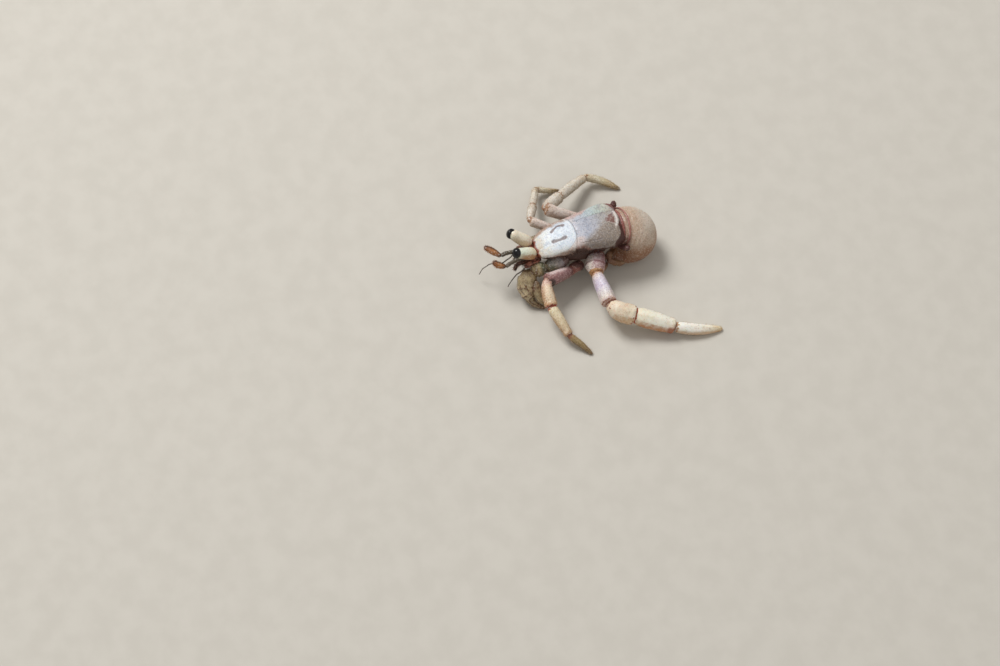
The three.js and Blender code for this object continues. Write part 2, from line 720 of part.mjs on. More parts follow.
/** The whole abdomen: sections fanned round the pivot, then the tail running forward. */
function abdomenShape(grow) {
  return wrapBall(ABDOMEN_FACETS, (cosineShare, across, rise, point) => {
    const share = Math.acos(1 - 2 * cosineShare) / Math.PI;
    const fan = Math.min(share / FAN_SHARE, 1);
    const run = Math.max(share - FAN_SHARE, 0) / (1 - FAN_SHARE);
    const angle = THREE.MathUtils.lerp(FAN_START, FAN_END, fan);
    const reach = skinReach(angle);
    const close = closing(share, ...ABDOMEN_ENDS);
    const thin = 1 - run * TAIL_TAPER;
    const middle = (reach + CREASE) / 2;
    const tall = (reach - CREASE) / 2;
    const from = middle + rise * close * thin * (tall + (rise > 0 ? grow : 0));
    const half = close * thin * (halfWidthAt(share) + grow);
    point.set(
      middleAt(share) - across * half,
      PIVOT_Y + from * Math.cos(radians(angle)) - run * TAIL_RUN,
      PIVOT_Z + from * Math.sin(radians(angle)),
    );
  });
}

/** A slab that leans out from the pivot at an angle above the floor. */
function slabAt(angle, thickness) {
  const slab = new THREE.BoxGeometry(TALL, TALL, thickness);
  slab.translate(0, TALL / 2 - CREASE, 0);
  slab.rotateX(radians(angle));
  slab.translate(0, PIVOT_Y, PIVOT_Z);
  return toSolid(slab);
}

/** A wedge between two angles about the pivot. */
function wedge(from, to) {
  const corner = (angle) =>
    new THREE.Vector2(Math.cos(radians(angle)) * TALL, Math.sin(radians(angle)) * TALL);
  const outline = new THREE.Shape([new THREE.Vector2(0, 0), corner(to), corner(from)]);
  const shape = new THREE.ExtrudeGeometry(outline, { depth: TALL, bevelEnabled: false });
  shape.applyMatrix4(
    new THREE.Matrix4().makeBasis(
      new THREE.Vector3(0, 1, 0),
      new THREE.Vector3(0, 0, 1),
      new THREE.Vector3(1, 0, 0),
    ),
  );
  shape.translate(-TALL / 2, PIVOT_Y, PIVOT_Z);
  return toSolid(shape);
}

/** The hard bands arched over the front of the abdomen. */
function bands() {
  const upper = new THREE.BoxGeometry(TALL, TALL, TALL);
  upper.translate(0, 0, BAND_LOW_EDGE + TALL / 2);
  const above = toSolid(upper);
  return BANDS.map(({ name, from, to }) => {
    const shape = (grow) => {
      const spread = degrees(grow / BALL_RADIUS);
      const outer = abdomenShape(BAND_CLEARANCE + BAND_THICKNESS + grow);
      const inner = abdomenShape(BAND_CLEARANCE - grow);
      const arch = outer.subtract(inner).intersect(wedge(from + spread, to - spread));
      return arch.intersect(above.translate([0, 0, -grow]));
    };
    return { name, colour: COLOURS.band, shape };
  });
}

/** The three lengths of the abdomen, parted by thin cuts that meet at the pivot. */
function abdomenLengths(solid) {
  const parted = ABDOMEN_CUTS.reduce((left, angle) => left.subtract(slabAt(angle, GAP)), solid);
  const names = ['abdomen_front', 'abdomen_middle', 'abdomen_rear'];
  const [highY, lowZ] = [1, 2];
  const bodies = parted.decompose().sort((a, b) => b.volume() - a.volume()).slice(0, 3);
  const middle = bodies.reduce((best, body) =>
    (body.boundingBox().max[highY] > best.boundingBox().max[highY] ? body : best));
  const others = bodies.filter((body) => body !== middle);
  const [rear, front] = others.sort((a, b) => a.boundingBox().min[lowZ] - b.boundingBox().min[lowZ]);
  return [front, middle, rear].map((body, i) => ({
    name: names[i], colour: COLOURS.flesh, solid: body,
  }));
}

// ---------------------------------------------------------------- assembly

/** Lets each shape in turn keep a gap from all the shapes before it. */
function fitted(parts) {
  const kept = [];
  return parts.map(({ name, colour, shape }) => {
    let solid = shape(0).trimByPlane([0, 0, 1], 0);
    for (const grown of kept) {
      if (boxesMeet(solid, grown)) {
        solid = mainBody(solid.subtract(grown));
      }
    }
    kept.push(shape(GAP));
    return { name, colour, solid: solid.simplify(SMOOTH) };
  });
}

const WHOLE_CARAPACE = 'carapace';
const WHOLE_ABDOMEN = 'abdomen';

const pieces = fitted([
  { name: WHOLE_CARAPACE, shape: carapaceShape },
  { name: 'thorax', colour: COLOURS.thorax, shape: thoraxShape },
  ...WALKING_LEGS.flatMap(walkingLeg),
  ...CLAWS.flatMap(clawedLeg),
  listedPiece(EYE_SEGMENT),
  ...EYES.flatMap(stalkedEye),
  ...FEELERS.map((feeler) => listedPiece({ depth: feeler.width, ...FEELER_SHAPE, ...feeler })),
  ...SMALL_LEGS.map(listedPiece),
  ...bands(),
  ...TAIL_FAN.map(listedPiece),
  { name: WHOLE_ABDOMEN, shape: abdomenShape },
]).flatMap((piece) => {
  if (piece.name === WHOLE_CARAPACE) {
    return carapacePlates();
  }
  return piece.name === WHOLE_ABDOMEN ? abdomenLengths(piece.solid) : [piece];
});

const crab = new THREE.Group();
for (const { name, colour, solid } of pieces) {
  const material = new THREE.MeshStandardMaterial({ color: colour, roughness: 0.5, metalness: 0 });
  const mesh = new THREE.Mesh(toGeometry(solid), material);
  mesh.name = name;
  crab.add(mesh);
}

export default crab;
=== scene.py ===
"""The looks of a small land hermit crab out of its shell, life size.

The head points to -Y, the crab's left is +X and the floor is z = 0. Shapes are worked in
millimetres and finished in metres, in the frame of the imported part.
"""

from __future__ import annotations

import logging
import math
from collections.abc import Callable, Sequence
from dataclasses import dataclass, field, replace
from enum import Enum
from functools import cache, partial

import bpy
import numpy as np
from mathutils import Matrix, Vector, noise


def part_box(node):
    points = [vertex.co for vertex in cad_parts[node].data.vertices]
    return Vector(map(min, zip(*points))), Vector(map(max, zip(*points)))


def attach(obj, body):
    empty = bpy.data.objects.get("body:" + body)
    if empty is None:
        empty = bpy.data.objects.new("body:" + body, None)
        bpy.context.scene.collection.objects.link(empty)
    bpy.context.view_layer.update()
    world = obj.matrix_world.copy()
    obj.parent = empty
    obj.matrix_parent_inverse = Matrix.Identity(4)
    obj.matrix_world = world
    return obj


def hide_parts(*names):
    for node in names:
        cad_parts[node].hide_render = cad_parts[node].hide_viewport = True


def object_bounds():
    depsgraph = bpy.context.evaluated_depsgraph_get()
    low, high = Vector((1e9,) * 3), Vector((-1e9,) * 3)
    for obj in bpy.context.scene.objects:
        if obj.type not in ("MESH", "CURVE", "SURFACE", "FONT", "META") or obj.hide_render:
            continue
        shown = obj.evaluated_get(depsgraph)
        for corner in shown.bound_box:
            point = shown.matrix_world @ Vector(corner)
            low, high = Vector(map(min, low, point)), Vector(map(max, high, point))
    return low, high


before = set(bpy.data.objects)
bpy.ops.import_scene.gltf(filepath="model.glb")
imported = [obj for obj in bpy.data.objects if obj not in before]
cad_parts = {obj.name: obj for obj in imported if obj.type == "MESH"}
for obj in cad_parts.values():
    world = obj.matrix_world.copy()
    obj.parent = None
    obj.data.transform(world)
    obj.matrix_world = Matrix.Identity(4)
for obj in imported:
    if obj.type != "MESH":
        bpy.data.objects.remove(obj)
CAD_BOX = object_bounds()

Array = np.ndarray
Layers = tuple[tuple[str, str, float], ...]  # value on the mesh, colour and share of each

MM = 0.001  # a millimetre, in metres
TURN = 2 * math.pi
ROOM = np.array(CAD_BOX) / MM  # the solid parts' box, in millimetres
BODY = "root"
MIDDLE_X = -1.05  # the front body's middle plane, in millimetres
UP = np.array([0.0, 0.0, 1.0])
FORWARD = np.array([0.0, -1.0, 0.0])
NEARLY_UPRIGHT = 0.9  # a line steeper than this needs another up
# The side turned away from the key lamp and down, where finishes paint shade, and the side facing the lamp,
# where the leg finishes paint highlights.
SHADED_SIDE = np.array([0.92, -0.1, -0.38])
LIT_SIDE = np.array([-0.74, 0.2, 0.64])
AHEAD_AND_RIGHT = np.array([-0.33, -0.95, 0.0])
NOTCH_WAY = np.array([0.47, -0.16, 0.87])  # the side on which a stalk reaches into its cornea
FLOOR_LEVEL = 0.0  # nothing hard reaches lower than the floor
HAIR_ROOM = 0.07  # how far hair tips stay inside the solid parts' box, in millimetres
ATLAS = "OFBake"
PATCH = 0.003  # one bristle's patch on its map
CAD_WELD = 0.002  # vertices of a solid nearer than this are one, in millimetres

OUTWARD = partial(bpy.ops.mesh.normals_make_consistent, inside=False)

log = logging.getLogger("hermit_crab")


# ---------------------------------------------------------------- numbers along a shape


def ease(value: Array, low: float, high: float) -> Array:
    """Eases from 0 at one value to 1 at another, which may be the lower of the two."""
    share = np.clip((np.asarray(value, float) - low) / (high - low), 0, 1)
    return share * share * (3 - 2 * share)


def hump(value: Array, centre: float, width: float) -> Array:
    """A smooth hump of height 1 about a centre, down to about a third its width away."""
    return np.exp(-(((np.asarray(value, float) - centre) / width) ** 2))


def profile(values: Sequence[float]) -> Callable[[Array], Array]:
    """A smooth function of 0..1 through evenly spaced values.

    Args:
        values: What it passes through.

    Returns:
        The function.
    """
    knots = np.asarray(values, float)
    last = len(knots) - 1

    def at(share: Array) -> Array:
        """Reads the profile at shares of its length."""
        place = np.clip(np.asarray(share, float), 0, 1) * last
        i = np.minimum(place.astype(int), last)
        w = place - i
        before = knots[np.maximum(i - 1, 0)]
        here = knots[i]
        after = knots[np.minimum(i + 1, last)]
        beyond = knots[np.minimum(i + 2, last)]
        leaving = (after - before) / 2
        arriving = (beyond - here) / 2
        cubic = 2 * here - 2 * after + leaving + arriving
        square = -3 * here + 3 * after - 2 * leaving - arriving
        return ((cubic * w + square) * w + leaving) * w + here

    return at


def closing(share: Array, start: float, end: float) -> Array:
    """0 at both ends and 1 between them, closing like an ellipse over a share at each end."""
    near = np.clip(np.minimum(share / start, (1 - share) / end), 0, 1)
    return np.sqrt(1 - (1 - near) ** 2)


def rough(points: Array, size: float, seed: int = 0) -> Array:
    """Smooth unevenness of about -1 to 1, its swellings of a size in millimetres."""
    shifted = points / size + 31.7 * seed
    return np.array([noise.noise(Vector(point)) for point in shifted])


def grains(points: Array, size: float, seed: int = 0) -> Array:
    """Small separate domes, one in each cell of a loose pattern.

    Args:
        points: Places in millimetres.
        size: How far apart the domes are, in millimetres.
        seed: Picks another pattern.

    Returns:
        Heights of 0 to 1.
    """
    shifted = points / size + 13.3 * seed
    nearest = np.array([noise.voronoi(Vector(point))[0][0] for point in shifted])
    return np.clip(1 - (nearest / 0.42) ** 2, 0, 1)


def unit(vector: Array) -> Array:
    """A vector's direction, or several in rows."""
    return vector / np.maximum(np.linalg.norm(vector, axis=-1, keepdims=True), 1e-12)


def stream(name: str) -> np.random.Generator:
    """Random numbers that are the same in each run for the same name."""
    return np.random.default_rng(sum(ord(letter) * (i + 1) for i, letter in enumerate(name)))


# ---------------------------------------------------------------- finishes


def tint(code: str) -> tuple[float, float, float, float]:
    """A colour given as six hexadecimal digits, in linear light."""
    parts = [int(code[i : i + 2], 16) / 255 for i in (0, 2, 4)]
    linear = [c / 12.92 if c <= 0.04045 else ((c + 0.055) / 1.055) ** 2.4 for c in parts]
    return (linear[0], linear[1], linear[2], 1.0)


class Graph:
    """A material's nodes, joined step by step."""

    def __init__(self, name: str) -> None:
        """Starts a material with one Principled shader.

        Args:
            name: The material's name.
        """
        self.material = bpy.data.materials.new(name)
        self.material.use_nodes = True
        self.tree = self.material.node_tree
        self.shader = self.tree.nodes["Principled BSDF"]
        self.place = self.node("ShaderNodeTexCoord").outputs["Object"]

    def node(self, kind: str, **settings: object) -> bpy.types.Node:
        """Adds a node and sets its properties."""
        made = self.tree.nodes.new(kind)
        for key, value in settings.items():
            setattr(made, key, value)
        return made

    def feed(self, socket: bpy.types.NodeSocket, value: object) -> None:
        """Links a socket to an output, or sets its value."""
        if isinstance(value, bpy.types.NodeSocket):
            self.tree.links.new(value, socket)
        else:
            socket.default_value = value

    def attribute(self, name: str) -> bpy.types.NodeSocket:
        """Reads one of the mesh's own values."""
        return self.node("ShaderNodeAttribute", attribute_name=name).outputs["Fac"]

    def cloud(self, size: float, detail: float = 4, warp: float = 0.0) -> bpy.types.NodeSocket:
        """Cloudy noise.

        Args:
            size: The size of one cloud, in millimetres.
            detail: How many finer layers it has.
            warp: How far it is distorted.

        Returns:
            Its value, about 0.5 in the middle.
        """
        made = self.node("ShaderNodeTexNoise")
        self.feed(made.inputs["Vector"], self.place)
        made.inputs["Scale"].default_value = 1 / (size * MM)
        made.inputs["Detail"].default_value = detail
        made.inputs["Distortion"].default_value = warp
        return made.outputs["Fac"]

    def cells(self, size: float) -> bpy.types.NodeSocket:
        """Distance from the middle of loose cells of a size in millimetres."""
        made = self.node("ShaderNodeTexVoronoi")
        self.feed(made.inputs["Vector"], self.place)
        made.inputs["Scale"].default_value = 1 / (size * MM)
        return made.outputs["Distance"]

    def span(
        self,
        value: bpy.types.NodeSocket,
        low: float,
        high: float,
        to_low: float = 0.0,
        to_high: float = 1.0,
    ) -> bpy.types.NodeSocket:
        """Eases one range of values into another.

        Args:
            value: What is eased.
            low: The value that gives to_low.
            high: The value that gives to_high.
            to_low: The result at low.
            to_high: The result at high.

        Returns:
            The eased value.
        """
        made = self.node("ShaderNodeMapRange", interpolation_type="SMOOTHSTEP")
        for name, number in zip(
            ("From Min", "From Max", "To Min", "To Max"), (low, high, to_low, to_high)
        ):
            made.inputs[name].default_value = number
        self.feed(made.inputs["Value"], value)
        return made.outputs["Result"]

    def ramp(self, value: bpy.types.NodeSocket, colours: str) -> bpy.types.NodeSocket:
        """Evenly spaced colours along a value.

        Args:
            value: Where the ramp is read, 0..1.
            colours: The colours from 0 to 1, with spaces between them.

        Returns:
            The colour.
        """
        made = self.node("ShaderNodeValToRGB")
        codes = colours.split()
        ramp = made.color_ramp
        while len(ramp.elements) < len(codes):
            ramp.elements.new(0.5)
        for i, (element, code) in enumerate(zip(ramp.elements, codes)):
            element.position = i / (len(codes) - 1)
            element.color = tint(code)
        self.feed(made.inputs["Fac"], value)
        return made.outputs["Color"]

    def stipple(
        self, colour: bpy.types.NodeSocket, size: float, dark: str, share: float, pale: str
    ) -> tuple[bpy.types.NodeSocket, bpy.types.NodeSocket, bpy.types.NodeSocket]:
        """Fine dark pits and pale grains over a colour.

        Args:
            colour: What they lie on.
            size: How far apart the pits are, in millimetres.
            dark: Their colour.
            share: How strong they are.
            pale: The colour of the grains between them.

        Returns:
            The colour, the pits' cells and the finest cloud.
        """
        cells = self.cells(size)
        patches = self.span(self.cloud(size * 4, detail=2), 0.35, 0.6)
        pits = self.sum("MULTIPLY", self.span(cells, 0.4, 0.12, 0, share), patches)
        colour = self.mix(pits, colour, tint(dark))
        fine = self.cloud(size * 0.75, detail=5)
        colour = self.mix(self.span(fine, 0.52, 0.66, 0, share * 0.9), colour, tint(dark))
        colour = self.mix(self.span(fine, 0.48, 0.34, 0, share * 0.9), colour, tint(pale))
        return colour, cells, fine

    def mix(self, share: object, under: object, over: object) -> bpy.types.NodeSocket:
        """Lays one colour over another by a share."""
        made = self.node("ShaderNodeMix", data_type="RGBA")
        self.feed(made.inputs[0], share)
        self.feed(made.inputs[6], under)
        self.feed(made.inputs[7], over)
        return made.outputs[2]

    def sum(self, kind: str, one: object, other: object) -> bpy.types.NodeSocket:
        """One step of arithmetic on two values."""
        made = self.node("ShaderNodeMath", operation=kind)
        self.feed(made.inputs[0], one)
        self.feed(made.inputs[1], other)
        return made.outputs[0]

    def painted(
        self, colour: object, layers: Layers, clouds: bpy.types.NodeSocket | None = None, least: float = 1.0
    ) -> object:
        """Paints layers over a colour, each where the mesh has a value of its own.

        Args:
            colour: What they lie on.
            layers: Each layer's value on the mesh, colour and share.
            clouds: What breaks them up, if anything does.
            least: What is left of a share where it is broken up.

        Returns:
            The colour.
        """
        for attribute, code, share in layers:
            here = share if clouds is None else self.span(clouds, 0.25, 0.6, share * least, share)
            mask = self.sum("MULTIPLY", self.attribute(attribute), here)
            colour = self.mix(mask, colour, tint(code))
        return colour

    def surface(
        self, colour: object, rough: object, ior: float, coat: float = 0.0, coat_rough: float = 0.03
    ) -> None:
        """Sets how the shader looks and shines.

        Args:
            colour: Its colour.
            rough: Its roughness.
            ior: How strongly it bends light.
            coat: How much clear coat lies over it.
            coat_rough: The roughness of that coat.
        """
        self.feed(self.shader.inputs["Base Color"], colour)
        self.feed(self.shader.inputs["Roughness"], rough)
        self.shader.inputs["IOR"].default_value = ior
        if coat:
            self.shader.inputs["Coat Weight"].default_value = coat
            self.shader.inputs["Coat Roughness"].default_value = coat_rough

    def relief(self, *layers: tuple[bpy.types.NodeSocket, float, float]) -> None:
        """Adds fine relief to the shader.

        Args:
            layers: Heights, each with its strength and its depth in millimetres.
        """
        last = None
        for height, strength, depth in layers:
            made = self.node("ShaderNodeBump")
            made.inputs["Strength"].default_value = strength
            made.inputs["Distance"].default_value = depth * MM
            self.feed(made.inputs["Height"], height)
            if last is not None:
                self.feed(made.inputs["Normal"], last)
            last = made.outputs["Normal"]
        self.feed(self.shader.inputs["Normal"], last)

    def translucent(self, share: float, depth: float, colour: tuple[float, float, float]) -> None:
        """Lets light travel through the surface.

        Args:
            share: How much of the light does.
            depth: How far it travels, in millimetres.
            colour: How far red, green and blue go beside each other.
        """
        self.shader.inputs["Subsurface Weight"].default_value = share
        self.shader.inputs["Subsurface Radius"].default_value = colour
        self.shader.inputs["Subsurface Scale"].default_value = depth * MM


@dataclass(frozen=True)
class ShellFinish:
    """Thin hard shell: colours along the piece, clouds, stipple, layers under it and inks over it."""

    name: str
    slot: str
    colours: str
    layers: Layers = ()
    inks: Layers = ()
    cloud: str = "b9967c"
    cloud_share: float = 0.35
    cloud_size: float = 0.7
    specks: str = "7a5a4a"
    speck_share: float = 0.35
    speck_size: float = 0.26
    pale: str = "f4efe6"
    roughness: float = 0.5
    coat: float = 0.08
    glow: float = 0.16
    grain: float = 0.5

    @cache
    def material(self) -> bpy.types.Material:
        """The finish as a material, made once."""
        graph = Graph(self.name)
        clouds = graph.cloud(self.cloud_size, detail=6, warp=0.7)
        place = graph.sum("ADD", graph.attribute("along"), graph.span(clouds, 0.3, 0.7, -0.05, 0.05))
        colour = graph.ramp(place, self.colours)
        colour = graph.mix(graph.span(clouds, 0.46, 0.7, 0, self.cloud_share), colour, tint(self.cloud))
        colour = graph.painted(colour, self.layers, clouds, least=0.75)
        colour, cells, fine = graph.stipple(colour, self.speck_size, self.specks, self.speck_share, self.pale)
        colour = graph.painted(colour, self.inks)
        rough = graph.span(fine, 0.3, 0.7, self.roughness - 0.08, self.roughness + 0.12)
        graph.surface(colour, rough, ior=1.5, coat=self.coat, coat_rough=0.25)
        graph.translucent(self.glow, 0.3, (1.0, 0.62, 0.42))
        graph.relief((cells, self.grain, 0.03), (fine, 0.5, 0.016))
        return graph.material


@dataclass(frozen=True)
class FleshFinish:
    """Soft moist skin: clouded colours, stipple, painted layers and fine creases."""

    name: str
    slot: str
    colours: str
    layers: Layers = ()
    cloud: str = "b3745c"
    cloud_share: float = 0.35
    cloud_size: float = 1.1
    specks: str = "8a5a44"
    speck_share: float = 0.35
    pale: str = "eee4d8"
    roughness: float = 0.46
    coat: float = 0.15
    glow: float = 0.28
    crease: float = 0.45

    @cache
    def material(self) -> bpy.types.Material:
        """The finish as a material, made once."""
        graph = Graph(self.name)
        clouds = graph.cloud(self.cloud_size, detail=6, warp=0.9)
        veins = graph.cloud(self.cloud_size * 0.3, detail=4, warp=2.0)
        colour = graph.ramp(graph.attribute("along"), self.colours)
        colour = graph.mix(graph.span(clouds, 0.46, 0.74, 0, self.cloud_share), colour, tint(self.cloud))
        colour = graph.mix(graph.span(veins, 0.55, 0.7, 0, 0.25), colour, tint(self.cloud))
        colour = graph.painted(colour, self.layers, clouds, least=0.7)
        colour, _, fine = graph.stipple(colour, 0.26, self.specks, self.speck_share, self.pale)
        rough = graph.span(fine, 0.3, 0.7, self.roughness - 0.1, self.roughness + 0.12)
        graph.surface(colour, rough, ior=1.42, coat=self.coat, coat_rough=0.3)
        graph.translucent(self.glow, 0.6, (1.0, 0.5, 0.32))
        graph.relief((veins, self.crease, 0.04), (fine, 0.5, 0.02))
        return graph.material


@dataclass(frozen=True)
class CorneaFinish:
    """A compound eye: glossy black over the faint net of its lenses."""

    name: str
    slot: str
    colour: str = "060507"
    rim: str = "3a2a22"
    lens: float = 0.045

    @cache
    def material(self) -> bpy.types.Material:
        """The finish as a material, made once."""
        graph = Graph(self.name)
        net = graph.cells(self.lens)
        deep = graph.mix(graph.span(net, 0.2, 0.6, 0, 0.35), tint(self.colour), tint("121014"))
        edge = graph.span(graph.attribute("along"), 0.2, 0.0)
        rough = graph.span(net, 0.1, 0.6, 0.18, 0.28)
        graph.surface(graph.mix(edge, deep, tint(self.rim)), rough, ior=1.38, coat=0.25, coat_rough=0.06)
        graph.relief((net, 0.12, 0.006))
        return graph.material


@dataclass(frozen=True)
class BristleFinish:
    """Stiff hair: darker at the root, paler and clearer at the tip."""

    name: str
    slot: str
    root: str = "6a4a30"
    tip: str = "c9a878"

    @cache
    def material(self) -> bpy.types.Material:
        """The finish as a material, made once."""
        graph = Graph(self.name)
        streaks = graph.cloud(0.3, detail=2)
        place = graph.sum("ADD", graph.attribute("along"), graph.span(streaks, 0.3, 0.7, -0.2, 0.2))
        colour = graph.ramp(place, f"{self.root} {self.tip}")
        graph.surface(colour, graph.span(streaks, 0.3, 0.7, 0.35, 0.5), ior=1.5)
        return graph.material


@dataclass(frozen=True)
class FloorFinish:
    """A plain pale matt floor."""

    name: str = "studio_floor"
    colour: str = "cdc8be"
    shade: str = "c9c4ba"

    @cache
    def material(self) -> bpy.types.Material:
        """The finish as a material, made once."""
        graph = Graph(self.name)
        clouds = graph.cloud(3, detail=4)
        colour = graph.mix(graph.span(clouds, 0.3, 0.7), tint(self.colour), tint(self.shade))
        graph.feed(graph.shader.inputs["Base Color"], colour)
        graph.feed(graph.shader.inputs["Roughness"], graph.span(clouds, 0.3, 0.7, 0.75, 0.85))
        return graph.material


Finish = ShellFinish | FleshFinish | CorneaFinish | BristleFinish | FloorFinish


# ---------------------------------------------------------------- shaping


class Clay:
    """A mesh being shaped, in millimetres, until it is finished as a piece."""

    def __init__(self, thing: bpy.types.Object) -> None:
        """Takes a mesh object in hand."""
        self.thing = thing

    @staticmethod
    def put_down() -> None:
        """Leaves edit mode and selects nothing."""
        if bpy.context.object is not None and bpy.context.object.mode != "OBJECT":
            bpy.ops.object.mode_set(mode="OBJECT")
        bpy.ops.object.select_all(action="DESELECT")

    @classmethod
    def of_nodes(cls, *names: str) -> Clay:
        """A welded working copy of the meshes of some CAD nodes.

        Args:
            names: The nodes.

        Returns:
            The copy, joined where there are several.
        """
        copies = []
        for name in names:
            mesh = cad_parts[name].data.copy()
            mesh.materials.clear()
            copy = bpy.data.objects.new(name + "_copy", mesh)
            bpy.context.scene.collection.objects.link(copy)
            copies.append(copy)
        cls.put_down()
        for copy in copies:
            copy.scale = (1 / MM,) * 3
            copy.select_set(True)
        bpy.context.view_layer.objects.active = copies[0]
        bpy.ops.object.transform_apply(location=True, rotation=True, scale=True)
        if len(copies) > 1:
            bpy.ops.object.join()
        made = cls(copies[0])
        made.weld(CAD_WELD)
        return made

    @classmethod
    def ball(cls, sides: int, rings: int) -> Clay:
        """A round ball to be wrapped round a form; its poles are above and below."""
        cls.put_down()
        bpy.ops.mesh.primitive_uv_sphere_add(segments=sides, ring_count=rings, radius=1)
        return cls(bpy.context.object)

    @classmethod
    def sheet(cls, across: int, along: int) -> Clay:
        """A flat grid from -1 to 1 both ways, to be laid over a form."""
        cls.put_down()
        bpy.ops.mesh.primitive_grid_add(x_subdivisions=across, y_subdivisions=along, size=2)
        return cls(bpy.context.object)

    @classmethod
    def rod(cls, sides: int, rings: Sequence[tuple[float, float]]) -> Clay:
        """A round rod along +Z, drawn up ring by ring from a disc.

        Args:
            sides: Facets round it.
            rings: Height and radius of each ring, from the foot up.

        Returns:
            The closed rod.
        """
        cls.put_down()
        height, radius = rings[0]
        bpy.ops.mesh.primitive_circle_add(
            vertices=sides, radius=radius, fill_type="NGON", location=(0, 0, height)
        )
        made = cls(bpy.context.object)
        bpy.ops.object.transform_apply(location=True, rotation=False, scale=False)
        bpy.ops.object.mode_set(mode="EDIT")
        bpy.ops.mesh.select_all(action="SELECT")
        for next_height, next_radius in rings[1:]:
            bpy.ops.mesh.extrude_region_move(
                TRANSFORM_OT_translate={"value": (0, 0, next_height - height)}
            )
            bpy.ops.transform.resize(
                value=(next_radius / radius, next_radius / radius, 1),
                center_override=(0, 0, next_height),
            )
            height, radius = next_height, next_radius
        bpy.ops.mesh.select_all(action="SELECT")
        bpy.ops.mesh.normals_make_consistent(inside=False)
        bpy.ops.object.mode_set(mode="OBJECT")
        return made

    def take(self) -> None:
        """Makes this the one selected and active object."""
        self.put_down()
        self.thing.select_set(True)
        bpy.context.view_layer.objects.active = self.thing

    def join(self, others: Sequence[Clay]) -> None:
        """Takes other meshes into this one."""
        self.take()
        for other in others:
            other.thing.select_set(True)
        bpy.ops.object.join()

    def stay_above_floor(self) -> None:
        """Lifts what lies lower than the floor up to it."""
        self.points = np.maximum(self.points, (-np.inf, -np.inf, FLOOR_LEVEL))

    def edit(self, *steps: Callable[[], object]) -> None:
        """Runs steps in edit mode, one after another, with the whole mesh selected."""
        self.take()
        bpy.ops.object.mode_set(mode="EDIT")
        bpy.ops.mesh.select_all(action="SELECT")
        for step in steps:
            step()
        bpy.ops.object.mode_set(mode="OBJECT")

    def face_outward(self) -> None:
        """Turns all faces outward."""
        self.edit(OUTWARD)

    def weld(self, distance: float) -> None:
        """Joins vertices nearer than a distance in millimetres and turns faces outward."""
        self.edit(partial(bpy.ops.mesh.remove_doubles, threshold=distance), OUTWARD)

    def flip(self) -> None:
        """Turns all faces the other way."""
        self.edit(bpy.ops.mesh.flip_normals)

    def keep_side(self, point: Array, normal: Array) -> None:
        """Cuts by a plane, drops the side that its normal points to and closes the cut."""
        plane = {"plane_co": tuple(point), "plane_no": tuple(normal)}
        self.edit(partial(bpy.ops.mesh.bisect, **plane, use_fill=True, clear_outer=True))

    def modify(self, kind: str, **settings: object) -> None:
        """Adds a modifier and applies it.

        Args:
            kind: Blender's name for the modifier.
            settings: Its settings.
        """
        self.take()
        modifier = self.thing.modifiers.new(kind.lower(), kind)
        for key, value in settings.items():
            setattr(modifier, key, value)
        bpy.ops.object.modifier_apply(modifier=modifier.name)

    def remodel(
        self, voxel: float, rounds: int, regain: float, finer: bool = True, line: Line | None = None
    ) -> None:
        """Works a faceted form smooth.

        Args:
            voxel: The size of the new faces, in millimetres.
            rounds: How often it is smoothed.
            regain: How far it is filled out again, in millimetres.
            finer: Whether the faces are then halved.
            line: The middle line of a piece that is worked rounder between its ends.
        """
        self.modify("REMESH", mode="VOXEL", voxel_size=voxel)
        self.modify("SMOOTH", factor=0.5, iterations=rounds)
        if line is not None:
            along = line.along(self.points)
            middle = ease(along, 0.02, 0.16) * ease(along, 0.98, 0.84)
            group = self.thing.vertex_groups.new(name="middle")
            for i, weight in enumerate(middle):
                group.add([i], float(weight), "REPLACE")
            self.modify("SMOOTH", factor=0.5, iterations=34, vertex_group="middle")
            self.thing.vertex_groups.clear()
            self.push(0.03 * middle)
        if finer:
            self.modify("SUBSURF", levels=1, render_levels=1)
        self.push(np.full(len(self.points), regain))

    @property
    def points(self) -> Array:
        """The vertices' places, in rows."""
        mesh = self.thing.data
        flat = np.empty(len(mesh.vertices) * 3, np.float32)
        mesh.vertices.foreach_get("co", flat)
        return flat.reshape(-1, 3).astype(float)

    @points.setter
    def points(self, places: Array) -> None:
        """Moves the vertices."""
        self.thing.data.vertices.foreach_set("co", places.astype(np.float32).ravel())
        self.thing.data.update()

    @property
    def normals(self) -> Array:
        """The vertices' outward directions, in rows."""
        mesh = self.thing.data
        flat = np.empty(len(mesh.vertices) * 3, np.float32)
        mesh.vertex_normals.foreach_get("vector", flat)
        return flat.reshape(-1, 3).astype(float)

    def push(self, heights: Array) -> None:
        """Moves each vertex outward by a height in millimetres."""
        self.points = self.points + self.normals * heights[:, None]

    def tag(self, name: str, values: Array) -> None:
        """Keeps a value of 0..1 with each vertex, for the finish to read."""
        mesh = self.thing.data
        known = mesh.attributes.get(name)
        kept = known or mesh.attributes.new(name=name, type="FLOAT", domain="POINT")
        kept.data.foreach_set("value", np.clip(values, 0, 1).astype(np.float32))

    def finish(self, name: str, finish: Finish, nodes: Sequence[str] = ()) -> bpy.types.Object:
        """Brings the piece into the frame, dresses it and hangs it on the body.

        Args:
            name: The piece's name.
            finish: What it is dressed in.
            nodes: The CAD nodes that it stands for.

        Returns:
            The finished object.
        """
        thing = self.thing
        self.points = np.clip(self.points, *ROOM)
        thing.name = name
        thing.data.name = name
        thing.scale = (MM,) * 3
        self.take()
        bpy.ops.object.transform_apply(location=True, rotation=True, scale=True)
        bpy.ops.object.shade_smooth()
        thing.data.materials.clear()
        thing.data.materials.append(finish.material())
        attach(thing, BODY)
        if nodes:
            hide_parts(*nodes)
        log.info("%s: %d faces", name, len(thing.data.polygons))
        return thing


